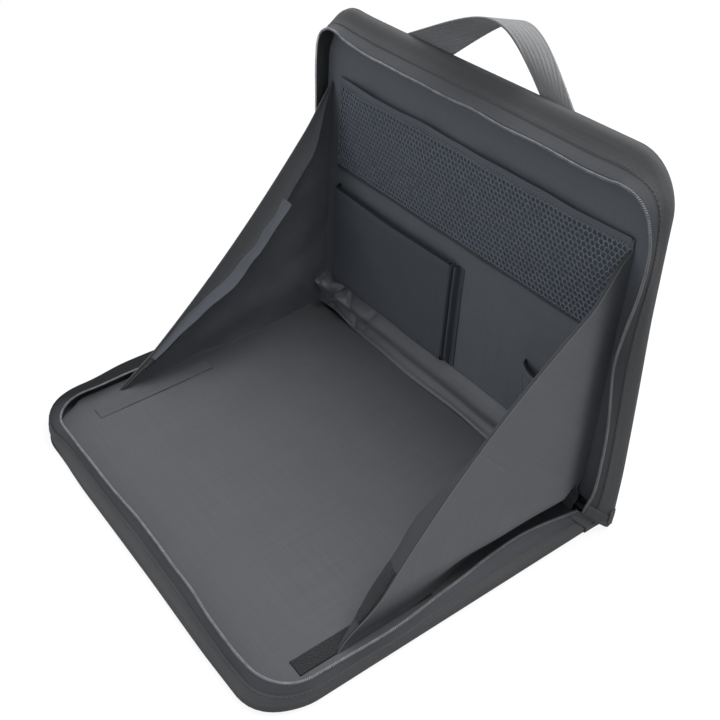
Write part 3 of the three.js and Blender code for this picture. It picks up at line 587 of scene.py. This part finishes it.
def coil_parts(path, up):
    """A zip's nylon coil: a flattened helix along a path."""
    turns = int(lengths(path)[-1] / COIL_PITCH)
    line = spaced(path, COIL_STEPS * turns + 1)
    side, upright = frames(line, up)
    angle = 2 * math.pi * np.arange(len(line)) / COIL_STEPS
    helix = line + side * (COIL_WIDTH / 2 * np.cos(angle))[:, None]
    helix = helix + upright * (COIL_HEIGHT / 2 * np.sin(angle))[:, None]
    return tube_parts(helix, COIL_WIRE, 4, up)


def rounded_sheet(rows, cols, side, near, far, radius, corner_rows=14):
    """Grids of x and u that fill a half's sheet with its far corners rounded, and of how near the edge is."""
    u = np.concatenate([np.linspace(near, far - radius, rows - corner_rows, endpoint=False),
                        far - radius + radius * np.sin(np.linspace(0, math.pi / 2, corner_rows))])
    into = np.clip((u - (far - radius)) / radius, 0, 1)
    half = side - radius * (1 - np.sqrt(1 - into**2))
    x = half[:, None] * np.linspace(-1, 1, cols)[None]
    u = np.repeat(u[:, None], cols, 1)
    return x, u, np.minimum(side - np.abs(x), far - u)


def pushed_out(half, x, u, share=1.0, reach=50.0):
    """Moves a sheet's outer part with the foot of the wall round it, or by a share of that."""
    sign = np.where(x >= 0, 1.0, -1.0)
    dx, du = np.abs(x) - (HALF_WIDTH - CORNER), u - SIDE_RUN
    corner = (dx > 0) & (du > 0)
    angle = np.where(corner, np.arctan2(du, dx), np.where(dx > du, 0.0, math.pi / 2))
    run = np.where(angle == 0, np.minimum(u, SIDE_RUN), SIDE_RUN + CORNER * angle)
    run = np.where(~corner & (angle > 0), SIDE_RUN + CORNER_RUN + np.maximum(-dx, 0), run)
    s = np.where(sign > 0, run, RIM_RUN - run)
    near = np.where(corner, CORNER - np.hypot(dx, du), CORNER - np.maximum(dx, du))
    side, far = (points[0][0] for points in SECTIONS[half]["piping"])
    out = FOOT_OUT[half](s) + (side - far) * np.sin(angle) ** 2
    out = share * out * (1 - smoothstep(near, 0, reach))
    return x + sign * np.cos(angle) * out, u + np.sin(angle) * out


# Side, near end, far end and corner of the covers, and how far in from the rim a cover's edge lies
COVER, COVER_INSET, COVER_SEAM = (198.2, 13.0, 303.4, 38.5), 1.7, 14
COVER_PUFF = {"tray": (0.25, 21), "back": (0.55, 22)}
SIDE_ZONE = (155, 198)
# Near end, far end and turned-up edge of the linings
LINING_SIDE, LINING_CORNER = 195.4, 36.0
LINING_RUN = {"tray": (11.5, 301.5, 4.5), "back": (17.0, 293.0, 1.2)}
BAND_THICK = np.linspace(1.2, 0.35, 14)[None]


def cover_height(half, x, u, near_edge, lift):
    """Height of an outer cover: drawn in at its seam, and let out with the foot of the side walls."""
    seam = 0.9 * smoothstep(COVER_SEAM - near_edge, 0, COVER_SEAM)
    return 0.7 + seam + lift + FOOT_RISE[half](u) * smoothstep(np.abs(x), *SIDE_ZONE)


for half in HALVES:
    place, up = PLACE[half], UP[half]
    # Outer cover: cloth over a board, slightly puffed
    x, u, near_edge = rounded_sheet(64, 70, *COVER)
    puff, seed = COVER_PUFF[half]
    puff = puff * (0.5 * ripple(seed, x, u, 150) * smoothstep(near_edge, 0, 30))
    grid = place(*pushed_out(half, x, u), cover_height(half, x, u, near_edge, puff))
    cover = slab(f"{half}_outer_cloth", grid, 1.1, CLOTH, "cloth", half, f"{half}_cover")
    # Lining: a little slack on the board, turned up where it meets the wall
    near_hinge, far_edge, turned_up = LINING_RUN[half]
    x, u, near_edge = rounded_sheet(70, 84, LINING_SIDE, near_hinge, far_edge, LINING_CORNER)
    slack = 0.32 * ripple(31, x, u, 90) + 0.16 * ripple(32, x, u, 34)
    turned_up = turned_up * (1 - smoothstep(near_edge, 0, 5)) ** 2
    v = FLOOR - 0.35 + slack * smoothstep(near_edge, 2, 40) + turned_up
    grid = place(*pushed_out(half, x, u, 0.5), v)
    lining = slab(f"{half}_inner_cloth", grid, 0.9, LININGS[half], "lining", half, f"{half}_lining")
    # Wall: a cloth band, the zip's tape behind the band, the zip's coil on the rim, and piping at the foot
    slab(f"{half}_wall_band", wall(half, "band", 190, 14), BAND_THICK, CLOTH, "cloth", half, f"{half}_band")
    slab(f"{half}_tape", wall(half, "tape", 190, 9), 0.8, TAPES[half], "trim", half, f"{half}_zip_tape")
    coil = coil_parts(wall(half, "coil", 400)[:, 0], up)
    add_object(f"{half}_coil", coil, NYLON, "nylon", half, f"{half}_zip_chain")
    piping = tube_parts(wall(half, "piping", 220)[:, 0], 1.1, 9, up)
    add_object(f"{half}_cord_piping", piping, CLOTH, "cloth", half, f"{half}_piping")


def cover_seam(half, inset):
    """A row round an outer cover, on its outer face."""
    _, x, u, in_x, in_u, _ = rim(300)
    keep = u > 20
    x, u = (x + in_x * inset)[keep], (u + in_u * inset)[keep]
    v = cover_height(half, x, u, inset - COVER_INSET, -0.65)
    return PLACE[half](*pushed_out(half, x, u), v), -UP[half]


for half in HALVES:
    grid = wall(half, "band", 190, 14)
    away = unit(np.cross(np.gradient(grid, axis=0), np.gradient(grid, axis=1)))
    away = away * np.sign(np.sum(away * (grid - PLACE[half](0, 150, 8)), -1, keepdims=True))
    stitches(f"{half}_stitching", [((grid + 0.32 * away)[:, 12], away[:, 12]), cover_seam(half, 5.0)], half)

# Cloth across the fold


def blended(obj, along, start, end):
    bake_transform(obj)


# Spine: outside, tucked in along the hinge, where the spare cloth waits that spans the closed spine. Its ends
# are rolled in round the corners, less so towards the hinge edge, where the cloth of the two halves meets.
PLEAT_HALF = 3.2
SPINE_REACH, SPINE_HEIGHT, SPINE_BULGE, SPINE_LAP = 17.5, 0.6, 5.0, 0.9
END_X, END_ROLL, END_TURN = {"tray": 197.5, "back": 204.3}, 2.4, 4.0
ACROSS_MITRE = np.array([math.sin(MITRE), math.cos(MITRE)])
across = np.linspace(-PLEAT_HALF, PLEAT_HALF, 25)
over = smoothstep(across, -PLEAT_HALF, PLEAT_HALF)
outer_face = (FOLD_HEIGHT - math.cos(MITRE) * np.abs(across)) / math.sin(MITRE)
tuck = np.minimum(FOLD_SETBACK / np.cos((over - 0.5) * FOLD_ANGLE), outer_face) - 0.5
lip = PLEAT_HALF / math.sin(MITRE)
flat_run = np.linspace(SPINE_REACH, lip, 9)[:-1]
quarter = np.linspace(0, math.pi / 2, 7)[1:]
roll_out = np.concatenate([END_ROLL * np.sin(quarter), np.full(3, END_ROLL)])
roll_in = np.concatenate([END_ROLL * (1 - np.cos(quarter)), END_ROLL + END_TURN * np.linspace(0, 1, 4)[1:]])
level = np.linspace(-1, 1, 80)
toward_back = np.concatenate([0 * flat_run, over, 0 * flat_run + 1])[:, None]
end_x = END_X["tray"] + (END_X["back"] - END_X["tray"]) * toward_back
x = np.concatenate([-end_x - roll_out[::-1], end_x * level, end_x + roll_out], 1)
deep_run = np.clip((flat_run - 1) / roll_in[-1], 0, 1)
turn_share = np.concatenate([deep_run, np.full(len(tuck), deep_run[-1]), deep_run[::-1]])[:, None]
turned_in = np.concatenate([roll_in[::-1], 0 * level, roll_in])[None] * turn_share
bulge = SPINE_BULGE * smoothstep(np.abs(x), *SIDE_ZONE) * toward_back
low, mid, high = np.split(np.arange(len(x)), [len(flat_run), len(flat_run) + len(tuck)])
on_tray = tray(x[low], flat_run[:, None], SPINE_HEIGHT + turned_in[low])
mouth = fold(
    x[mid], tuck[:, None] - 0.36 + ACROSS_MITRE[0] * (bulge - turned_in)[mid],
    across[:, None] + ACROSS_MITRE[1] * (bulge + (1 - 2 * toward_back) * turned_in)[mid])
lap = SPINE_LAP * smoothstep(flat_run[::-1], lip, 13)[:, None]
on_back = back(x[high], flat_run[::-1][:, None], SPINE_HEIGHT - lap - bulge[high] + turned_in[high])
grid = np.concatenate([on_tray, mouth, on_back])
spine = slab("spine_cloth", grid, 1.0, CLOTH, "cloth", None, "spine_strip")
blended(spine, FOLD_RADIUS - 6, -PLEAT_HALF, PLEAT_HALF)
seam = (on_back[-2] - 0.62 * BACK_OUT)[len(roll_out):-len(roll_out)]
stitches("spine_stitching", [(seam, -BACK_OUT)], "back")

# Hinge lining: satin from the floor to the back, in two soft rolls and a groove, crumpled at the left
HINGE_SECTION = ((tray, 12, 6.5), (tray, 10, 7.8), (tray, 9, 11), (back, 16, 7.2), (back, 25, 11.4),
                 (back, 33, 9.6), (back, 38.5, 7.2), (back, 41, 6.2))
# Lobes as (x, level, width, height, rise) and creases as (x, slant, width, depth)
LOBES = ((-181, 0.52, 12, 0.3, 17), (-150, 0.42, 12, 0.26, 13), (-165, 0.8, 9, 0.16, 6),
         (-121, 0.45, 15, 0.3, 6), (-92, 0.5, 15, 0.3, 2.6), (-58, 0.4, 18, 0.3, 1.4))
CREASES = ((-166, 26, 3.2, 5.5), (-136, -18, 2.6, 4), (-108, 20, 3, 2.4), (-176, -30, 2.2, 3))
hinge_line = curve([place(0, u, v)[1:] for place, u, v in HINGE_SECTION], 34)
x = np.linspace(-193.0, 178.0, 210)[None]
t = np.linspace(0, 1, len(hinge_line))[:, None]
fold_in = sum(
    rise * np.exp(-(((x - middle) / wide) ** 2) - ((t - level) / tall) ** 2)
    for middle, level, wide, tall, rise in LOBES)
fold_in = fold_in - sum(
    deep * np.exp(-(((x - middle - slant * (t - 0.5)) / wide) ** 2)) for middle, slant, wide, deep in CREASES)
fold_in = fold_in * np.sqrt(np.sin(math.pi * t))
lift = 6 * np.exp(-(((x + 160) / 24) ** 2)) * (1 - smoothstep(t, 0, 0.3))
soft = 0.5 * ripple(44, x, 26 * t, 60) * np.sin(math.pi * t)
yz = hinge_line[:, None] - np.array([math.cos(MITRE), -math.sin(MITRE)]) * (fold_in + soft)[..., None]
slide = 1.2 * ripple(46, x, 0 * x, 80) * (1 - t) ** 3
hinge = slab("hinge_satin", stacked(x, yz[..., 0] + slide, yz[..., 1] + lift), 0.9, SATIN, "satin", None,
             "hinge_lining")
blended(hinge, 18, *((p - fold(0, 0, 0)[1:]) @ ACROSS_MITRE for p in (hinge_line[0], hinge_line[-1])))

# Corner pleats: patches that lap over the ends of the two side walls and bridge the notch between them
LAP_STATIONS, LAP_OUT = (4, 2, 0), 0.9
for hand, sign in (("right", 1), ("left", -1)):
    sections = []
    for half in HALVES:
        band, tape = (g[::sign] for g in (wall(half, "band", 380, 14), wall(half, "tape", 380, 9)))
        lap = [spaced(np.vstack([band[k][2:], tape[k][5:]]), 24) for k in LAP_STATIONS]
        sections += lap if half == "tray" else lap[::-1]
    lines = np.array(sections)
    lines[..., 0] += sign * LAP_OUT
    grid = np.stack([curve(lines[:, k], 21) for k in range(lines.shape[1])])
    pleat = slab(f"notch_pleat_{hand}", grid, 0.9, CLOTH, "cloth", None, f"corner_pleat_{hand}")
    blended(pleat, 15, -1.6, 1.6)

# Gussets: triangles of cloth between the tray and the back, each in two halves that part at the crease

FOOT = FLOOR + 0.3
TIPS = {half: PLACE[half](0, GUSSET_REACH, FOOT)[1:] for half in HALVES}
EDGE = TIPS["back"] - TIPS["tray"]
EDGE_RUN = np.linalg.norm(EDGE)
ROOT = fold(0, (FOLD_HEIGHT - FOOT) / math.sin(MITRE), 0)[1:]
SQUASH_TILT, SQUASH_FOOT, SQUASH_KEEP = math.radians(10), 60.0, 0.03
# By hand, 1 at the right: how far the seams and the foot are tucked in, the slack and its seed
GUSSETS = {1: dict(seam=9.0, tuck=13.0, slack=0.25, seed=51),
           -1: dict(seam=-4.0, tuck=0.0, slack=1.0, seed=61)}
# The strip turned in from a free edge, as (inward, down): a hem at the right, a deep facing at the left. Then
# how loose it lies, inward and down, and the seed of that
HEMS = {1: (curve([(0, 0), (4, 0.6), (9, 2.2), (15, 5)], 40), 0.5, 0.7, 71),
        -1: (curve([(0, 0), (3, 7), (7, 14), (12, 18.6), (17, 20), (24, 19.6), (31, 20.6)], 40),
             1.6, 1.3, 81)}
# Along the left free edge from its tray tip, the share of that section that is turned in
FACING_SIZE = table([(0, 0.1), (40, 0.2), (73, 0.31), (93, 0.4), (122, 0.56), (156, 0.66), (182, 0.72),
                     (348, 0.72)])
FACING_RUN, FACING_WIDTH = 46, 14


def gusset_x(hand, yz, share, span):
    """How far out a gusset's cloth lies: tucked in along its seams, bowed at its free edge, a little slack.
    Span runs from its tray tip, 0, to its back tip, 1, and share from its corner to its free edge."""
    y, z = yz[..., 0], yz[..., 1]
    own = GUSSETS[hand]
    off_back = (yz - back(0, 0, FOOT)[1:]) @ BACK_OUT[1:]
    seam = own["seam"] * (1 - smoothstep(np.minimum(z - FOOT, off_back), 0, 36))
    tuck = own["tuck"] * (1 - smoothstep(z - FOOT, 8, 32)) * (1 - smoothstep(-y, -60, 20))
    bow = GUSSET_BOW * share**2 * np.sin(math.pi * span)
    slack = 0.7 * ripple(own["seed"], y, z, 170) + own["slack"] * ripple(own["seed"] + 1, y, z, 60)
    fade = smoothstep(share, 0.04, 0.4) * (1 - smoothstep(share, 0.7, 1))
    return hand * (GUSSET_X - seam - tuck - bow - slack * fade - 0.6)


def hem_size(hand, span):
    """The share of a strip's section that is turned in; it runs out at its tips."""
    low, high = span * EDGE_RUN, (1 - span) * EDGE_RUN
    if hand < 0:
        return 0.1 + (FACING_SIZE(low) - 0.1) * smoothstep(high, 0, 60)
    body = smoothstep(low, 0, 52) * (1 - smoothstep(span, 0.3, 0.5))
    return 0.12 + 0.88 * body + 0.02 * smoothstep(span, 0.4, 0.6)


def hem_grid(hand, first, last, rows, low, high, lift=0.0, wavy=0.0):
    """A part of a strip: along the free edge, between two shares of its section, and lifted off the strip."""
    span, t = np.meshgrid(np.linspace(first, last, rows), np.linspace(0, 1, 14), indexing="ij")
    run = span * EDGE_RUN
    low, high = (end + wavy * ripple(seed, run, 0 * t, 38) for end, seed in ((low, 85), (high, 86)))
    t = low + (high - low) * t
    section, loose_in, loose_down, seed = HEMS[hand]
    size, at = hem_size(hand, span), np.linspace(0, 1, len(section))
    loose = t**2 * size
    inward = np.interp(t, at, section[:, 0]) * size + loose_in * loose * ripple(seed, run, 0 * t, 60)
    down = np.interp(t, at, section[:, 1]) * size - lift
    down = down + loose_down * loose * ripple(seed + 1, run, 10 * t, 48)
    edge = TIPS["tray"] + EDGE * span[..., None]
    yz = edge + unit(ROOT - edge) * down[..., None]
    x = gusset_x(hand, edge, np.ones_like(span), span) - hand * (0.9 + inward)
    return np.dstack([x, yz])


def gusset_piece(name, grid, thick, look, slot, hand, body, *nodes):
    """A piece of a gusset, with a mesh of its own."""
    obj = slab(name, grid, thick, look, slot, body, *nodes)
    foot = PLACE[body](hand * GUSSET_X, SQUASH_FOOT, FOOT) * MM
    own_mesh(obj)
    return obj


# Of each half: its body, and the ends of its cloth, hem and left binding along the free edge
PARTS = {"lower": ("tray", (0.0, 0.5), (0.004, 0.5), (0.12, 0.5)),
         "upper": ("back", (0.5, 1.0), (0.5, 0.996), (0.5, 0.69))}
HOOK_ENDS = np.array([28, 72]) / EDGE_RUN
for side, hand, hook_lift in (("left", -1, -1.1), ("right", 1, 1.0)):
    for part, (body, ends, hem_ends, binding_ends) in PARTS.items():
        key = f"{side}_{part}"
        span, share = np.meshgrid(np.linspace(*ends, 44), np.linspace(0.03, 1, 52), indexing="ij")
        yz = ROOT + (TIPS["tray"] + EDGE * span[..., None] - ROOT) * share[..., None]
        grid = np.dstack([gusset_x(hand, yz, share, span), yz])
        sheet = gusset_piece(f"gusset_cloth_{key}", grid, 0.9, GUSSET, "cloth", hand, body, f"gusset_{key}")
        grid = hem_grid(hand, *hem_ends, 70, 0, 0.7 if hand < 0 else 1)
        gusset_piece(f"gusset_facing_{key}", grid, 0.9, TRIM, "trim", hand, body, f"gusset_hem_{key}")
        if hand < 0:
            turned = FACING_RUN * FACING_SIZE(np.linspace(*binding_ends, 70) * EDGE_RUN)[:, None]
            inner = 1 - np.minimum(0.7, FACING_WIDTH / turned)
            grid = hem_grid(hand, *binding_ends, 70, inner, 1, 0.9, 0.03)
            gusset_piece(f"gusset_binding_{key}", grid, 0.9, FACING, "satin", hand, body)
    grid = hem_grid(hand, *HOOK_ENDS, 24, 0.06, 0.94, hook_lift)
    gusset_piece(f"hook_strip_{side}", grid, 1.1, HOOK_PILE, "hook_and_loop", hand, "tray",
                 f"hook_tape_{side}")
    x, u = np.meshgrid(hand * np.linspace(164, 178, 8), np.linspace(151.5, 266.5, 30))
    slab(f"loop_strip_{side}", tray(x, u, FLOOR + 0.6 + 0.12 * ripple(91, x, u, 30)), 1.0, LOOP_PILES[side],
         "hook_and_loop", "tray", f"loop_tape_{side}")

# Pockets on the back


def on_lining(x, u, v):
    """A point of the back from its height over the lining."""
    return back(x, u, FLOOR + v)


# Net pocket: a knotted net over the lining, on a bound foot, with an elastic hem at its mouth
NET_LEFT, NET_RIGHT, NET_FOOT, NET_MOUTH = -176.0, 176.0, 160.0, 240.0
CELL, YARN_HALF, SEAM_RISE, SEAM_TOP = 4.7, 0.42, 1.2, 1.85


def net_rise(x, u):
    t = (u - NET_FOOT) / (NET_MOUTH - NET_FOOT)
    slack = 0.8 * ripple(101, x, u, 120) + 0.5 * ripple(102, x, u, 60)
    return SEAM_RISE + (2.6 + slack) * np.sin(np.clip(t, 0, 1) * math.pi * 0.62) * smoothstep(
        np.minimum(x - NET_LEFT, NET_RIGHT - x), 0, 30)


def net_parts():
    """Six-sided cells of the net, as a straight yarn along each of their edges."""
    rise, edge = CELL * math.sqrt(3) / 2, CELL / math.sqrt(3)
    ends = []
    for i, j in np.ndindex(int((NET_MOUTH - NET_FOOT) / rise) + 1, int((NET_RIGHT - NET_LEFT) / CELL) + 1):
        x, u = NET_LEFT + CELL * (j + 0.5 * (i % 2)), NET_FOOT + rise * i
        corner = [(x + edge * math.sin(a), u + edge * math.cos(a)) for a in np.arange(4) * math.pi / 3]
        ends += zip(corner, corner[1:])
    ends = np.array(ends)
    inside = (ends > (NET_LEFT, NET_FOOT)) & (ends < (NET_RIGHT, NET_MOUTH))
    ends = ends[inside.all((1, 2))]
    a, b = (on_lining(x, u, net_rise(x, u)) for x, u in ends.transpose(1, 2, 0))
    way = unit(b - a)
    side = np.cross(way, BACK_OUT) * YARN_HALF
    up = np.cross(side, way) * 0.9
    verts = np.stack([end + corner for end in (a - way * 0.2, b + way * 0.2)
                      for corner in (-side - up, side - up, side + up, up - side)], 1)
    one = [(0, 1, 5, 4), (1, 2, 6, 5), (2, 3, 7, 6), (3, 0, 4, 7), (3, 2, 1, 0), (4, 5, 6, 7)]
    faces = (np.array(one)[None] + 8 * np.arange(len(a))[:, None, None]).reshape(-1, 4)
    return verts.reshape(-1, 3), faces.tolist(), np.zeros((8 * len(a), 2))


def strip(name, line, width, way, look, slot, node):
    """A flat strip of cloth on the back, centred on a line; way is the direction of its width."""
    t = np.linspace(-0.5, 0.5, 5)[:, None, None]
    slab(name, line[None] + way * t * width, 1.1, look, slot, "back", node)


add_object("pocket_net", net_parts(), NET, "net", "back", "mesh_pocket_net")
xs = np.linspace(NET_LEFT, NET_RIGHT, 120)
up_rows = np.linspace(-3.5, 3.5, 9)[:, None]
net_hem = on_lining(
    xs, NET_MOUTH + 0.8 * ripple(103, xs, 0 * xs, 90) + up_rows,
    net_rise(xs, np.full_like(xs, NET_MOUTH)) + 0.1 + 1.3 * smoothstep(up_rows, 0, 3.5))
slab("net_hem", net_hem, 0.9, LININGS["back"], "lining", "back", "mesh_pocket_hem")
foot_line = NET_FOOT + 0.5 * ripple(104, xs, 0 * xs, 70)
strip("net_foot", on_lining(xs, foot_line, SEAM_RISE), 2.6, back(0, 1, 0) - back(0, 0, 0), TRIM, "trim",
      "mesh_pocket_foot")
rows = [(on_lining(xs, foot_line, SEAM_TOP), BACK_OUT), (net_hem[2] + 0.55 * BACK_OUT, BACK_OUT)]
us = np.linspace(NET_FOOT - 1, NET_MOUTH + 2, 40)
for side, edge in (("left", NET_LEFT), ("right", NET_RIGHT)):
    strip(f"net_edge_{side}", on_lining(edge, us, SEAM_RISE), 3.0, np.array([1.0, 0, 0]), LININGS["back"],
          "lining", f"mesh_pocket_edge_{side}")
    rows.append((on_lining(edge, us, SEAM_TOP), BACK_OUT))
stitches("net_stitching", rows, "back")


def pocket_grid(pocket, cols, rows):
    return np.meshgrid(np.linspace(pocket["left"], pocket["right"], cols),
                       np.linspace(pocket["foot"], pocket["mouth"], rows))


def turned_down(near, turn):
    """How high cloth stands that turns down to a seam, from its distance to the seam."""
    return np.sqrt(np.clip(1 - (1 - np.clip(near / turn, 0, 1)) ** 2, 0, 1))


# Phone pocket: a panel that stands off the lining, with a gaping mouth and a bellows at its right
PHONE = dict(left=-172.0, right=2.0, foot=42.0, mouth=140.0)
BELLOWS = [(0.4, 7.2), (1.1, 6.2), (1.5, 1.2), (2.8, 0.7), (4.2, 1.0), (4.8, 5.4), (5.7, 6.4), (6.6, 5.4),
           (7.1, 1.0), (8.6, 0.6), (12, 0.6)]
x, u = pocket_grid(PHONE, 70, 46)
rise = 6.6 * turned_down(np.minimum(x - PHONE["left"], u - PHONE["foot"]), 4.5)
across = np.clip((x - PHONE["left"]) / (PHONE["right"] - PHONE["left"]), 0, 1)
gape = smoothstep(u, 90, PHONE["mouth"]) * np.sin(across * math.pi) ** 0.8
v = 0.7 + rise + 2.2 * gape + 0.35 * ripple(111, x, u, 70)
phone_grid = on_lining(x, u, v)
panel = slab("phone_pocket_cloth", phone_grid, 1.1, POCKET, "lining", "back", "phone_pocket_panel",
             "phone_pocket_foot", "phone_pocket_edge")
# The hem, near black and set inside the mouth: painted shade of the gaping mouth
hem = tube_parts(on_lining(x[-1], u[-1] + 0.7, v[-1] - 0.9), 1.2, 8, BACK_OUT)
add_object("phone_hem", hem, MOUTH_SHADE_BINDING, "lining", "back", "phone_pocket_hem")
us = np.linspace(PHONE["foot"] + 1, PHONE["mouth"], 50)[:, None]
across, rise = curve(BELLOWS, 52).T
grid = on_lining(
    PHONE["right"] + across + 0.4 * ripple(112, us, 0 * us, 60), us,
    0.7 + (rise - 0.7) * np.sqrt(smoothstep(us, PHONE["foot"], PHONE["foot"] + 9)))
slab("phone_bellows", grid, 0.8, POCKET, "trim", "back", "phone_pocket_pleat")

# Card pocket: a flat patch whose mouth gapes at its left end
CARD = dict(left=98.0, right=172.0, foot=42.0, mouth=98.0)
EYE_WIDTH, EYE_DROP, EYE_RISE = 40, 2.5, 7.0
x, u = pocket_grid(CARD, 44, 34)
near = np.minimum(np.minimum(x - CARD["left"], CARD["right"] - x), u - CARD["foot"])
across = np.clip((x - CARD["left"]) / EYE_WIDTH, 0, 1)
eye = smoothstep(u, 60, CARD["mouth"]) * np.sin(across * math.pi) ** 0.7
v = 0.7 + 2.2 * turned_down(near, 4.0) + EYE_RISE * eye + 0.2 * ripple(121, x, u, 40)
u = u - EYE_DROP * eye
card_grid = on_lining(x, u, v)
card = slab("card_pocket_cloth", card_grid, 1.0, LININGS["back"], "lining", "back", "card_pocket_panel",
            "card_pocket_foot", "card_pocket_edge_left", "card_pocket_edge_right")
# The hem, near black and set inside the mouth: painted shade of the gaping mouth
hem = tube_parts(on_lining(x[-1], u[-1] + 0.6, v[-1] - 0.8), 1.1, 8, BACK_OUT)
add_object("card_hem", hem, MOUTH_SHADE_BINDING, "lining", "back", "card_pocket_hem")

# Stitches three cells inside the borders of both pockets
rows = [(line + 0.65 * BACK_OUT, BACK_OUT) for line in (phone_grid[:, 3], phone_grid[3], phone_grid[-4])]
rows += [(line + 0.6 * BACK_OUT, BACK_OUT)
         for line in (card_grid[:, 3], card_grid[:, -4], card_grid[3], card_grid[-4])]
stitches("pocket_stitching", rows, "back")

# Handle: webbing that turns over half a turn, sewn to the rear face

HANDLE_LINE, HANDLE_MIDDLE, HANDLE_THICK = 303.0, -1.4, 1.9
FRONT_EDGE = dict(left=-97.0, right=64.0, crown=(15.0, 42.0, 10.4))
REAR_EDGE = dict(left=-38.0, right=97.0, crown=(27.5, 41.0, -11.6))


def handle_edge(edge, t):
    """One edge of the webbing: a curve from its left root over its crown to its right root."""
    left, right = (np.array([edge[hand], HANDLE_LINE, HANDLE_MIDDLE]) for hand in ("left", "right"))
    crown = np.array(edge["crown"]) + (0, HANDLE_LINE, HANDLE_MIDDLE)
    peak = (8 * crown - left - right) / 6
    return (1 - t) ** 3 * left + 3 * t * (1 - t) * peak + t**3 * right


t = np.linspace(0, 1, 90)[:, None]
front, rear = handle_edge(FRONT_EDGE, t), handle_edge(REAR_EDGE, t)
ribbon = front[:, None] + (rear - front)[:, None] * np.linspace(0, 1, 12)[None, :, None]
slab("handle_webbing", back(*np.moveaxis(ribbon, -1, 0)), HANDLE_THICK, WEBBING, "webbing", "handle",
     "handle_strap")
rows = []
for hand, end, after in (("left", 0, 1), ("right", -1, -2)):
    way = unit((front[end] - front[after]) + (rear[end] - rear[after]))
    drop = np.linspace(1.4, 27.8, 16)[:, None]
    x = np.linspace(FRONT_EDGE[hand], REAR_EDGE[hand], 14) - way[0] / way[1] * drop
    grid = back(x, HANDLE_LINE - drop, HANDLE_MIDDLE + 0.1)
    slab(f"handle_end_{hand}", grid, HANDLE_THICK, WEBBING, "webbing", "back", f"handle_tab_{hand}")
    corners = [grid[1, 1], grid[1, -2], grid[-2, -2], grid[-2, 1]]
    for a, b in ((0, 1), (1, 2), (2, 3), (3, 0), (0, 2), (1, 3)):
        rows.append((np.linspace(corners[a], corners[b], 12) - BACK_OUT, -BACK_OUT))
stitches("handle_stitching", rows, "back")

# Camera, light and stage


def placed(obj, axes, where):
    """Puts an object somewhere, with its own x, y and z along the given axes."""
    pose = np.eye(4)
    pose[:3, :3] = np.transpose(axes)
    pose[:3, 3] = where
    obj.matrix_world = Matrix(pose.tolist())


camera = bpy.data.cameras.new("camera")
camera.lens, camera.sensor_width = 52.39, 36.0
camera.clip_start = 0.01
bpy.context.scene.camera = link("camera", camera)
CAMERA_AXES = ((0.567708, 0.820723, -0.064189), (-0.485800, 0.396942, 0.778740),
               (0.664610, -0.410914, 0.624054))
placed(bpy.context.scene.camera, CAMERA_AXES, (0.5785, -0.2921, 0.6284))


def lamp(name, place, aim, size, power, tint):
    light = bpy.data.lights.new(name, "AREA")
    light.shape = "DISK"
    light.size, light.energy, light.color = size, power, tint
    back_axis = unit(np.subtract(place, aim))
    side_axis = unit(np.cross((0.1, 1, 0), back_axis))
    placed(link(name, light), (side_axis, np.cross(back_axis, side_axis), back_axis), place)


lamp("key", (0.25, 0.75, 1.7), (0, 0, 0.1), 1.3, 38.0, (1.0, 0.985, 0.965))
lamp("fill", (-0.7, -1.3, 0.75), (0, 0.05, 0.15), 1.0, 1.6, (1.0, 0.99, 0.98))

world = bpy.data.worlds.new("world")
world.use_nodes = True
bpy.context.scene.world = world
sky = Nodes(world.node_tree)
shade = sky.tree.nodes["Background"]
sky.set(shade.inputs["Color"], (0.94, 0.97, 1.0, 1.0))
sky.set(shade.inputs["Strength"], 0.58)
white = sky.node("ShaderNodeBackground", {"Color": (1, 1, 1, 1), "Strength": 1.0})
sky.show("World Output", sky.seen_directly(), shade.outputs[0], white[0])

# The floor: paper that keeps the shadow, and is white where it is seen
FLOOR_HALF, FLOOR_Z = 4, -0.0006
ground = bpy.data.meshes.new("floor")
corners = [(x * FLOOR_HALF, y * FLOOR_HALF, FLOOR_Z) for x, y in ((-1, -1), (1, -1), (1, 1), (-1, 1))]
ground.from_pydata(corners, [], [(0, 1, 2, 3)])
paper = Look("floor_paper", 0.9, specular=0.1)
seen = paper.seen_directly()
ground.materials.append(paper.paint(paper.node("ShaderNodeMapRange", {0: seen, 3: 0.4, 4: 1.0})[0]))
glow = paper.node("ShaderNodeEmission", {"Strength": 1.0})
paper.show("Material Output", paper.math("MULTIPLY", seen, 0.9), paper.shader.outputs[0], glow[0])
link("floor", ground)

bpy.context.scene.view_settings.view_transform = "Standard"
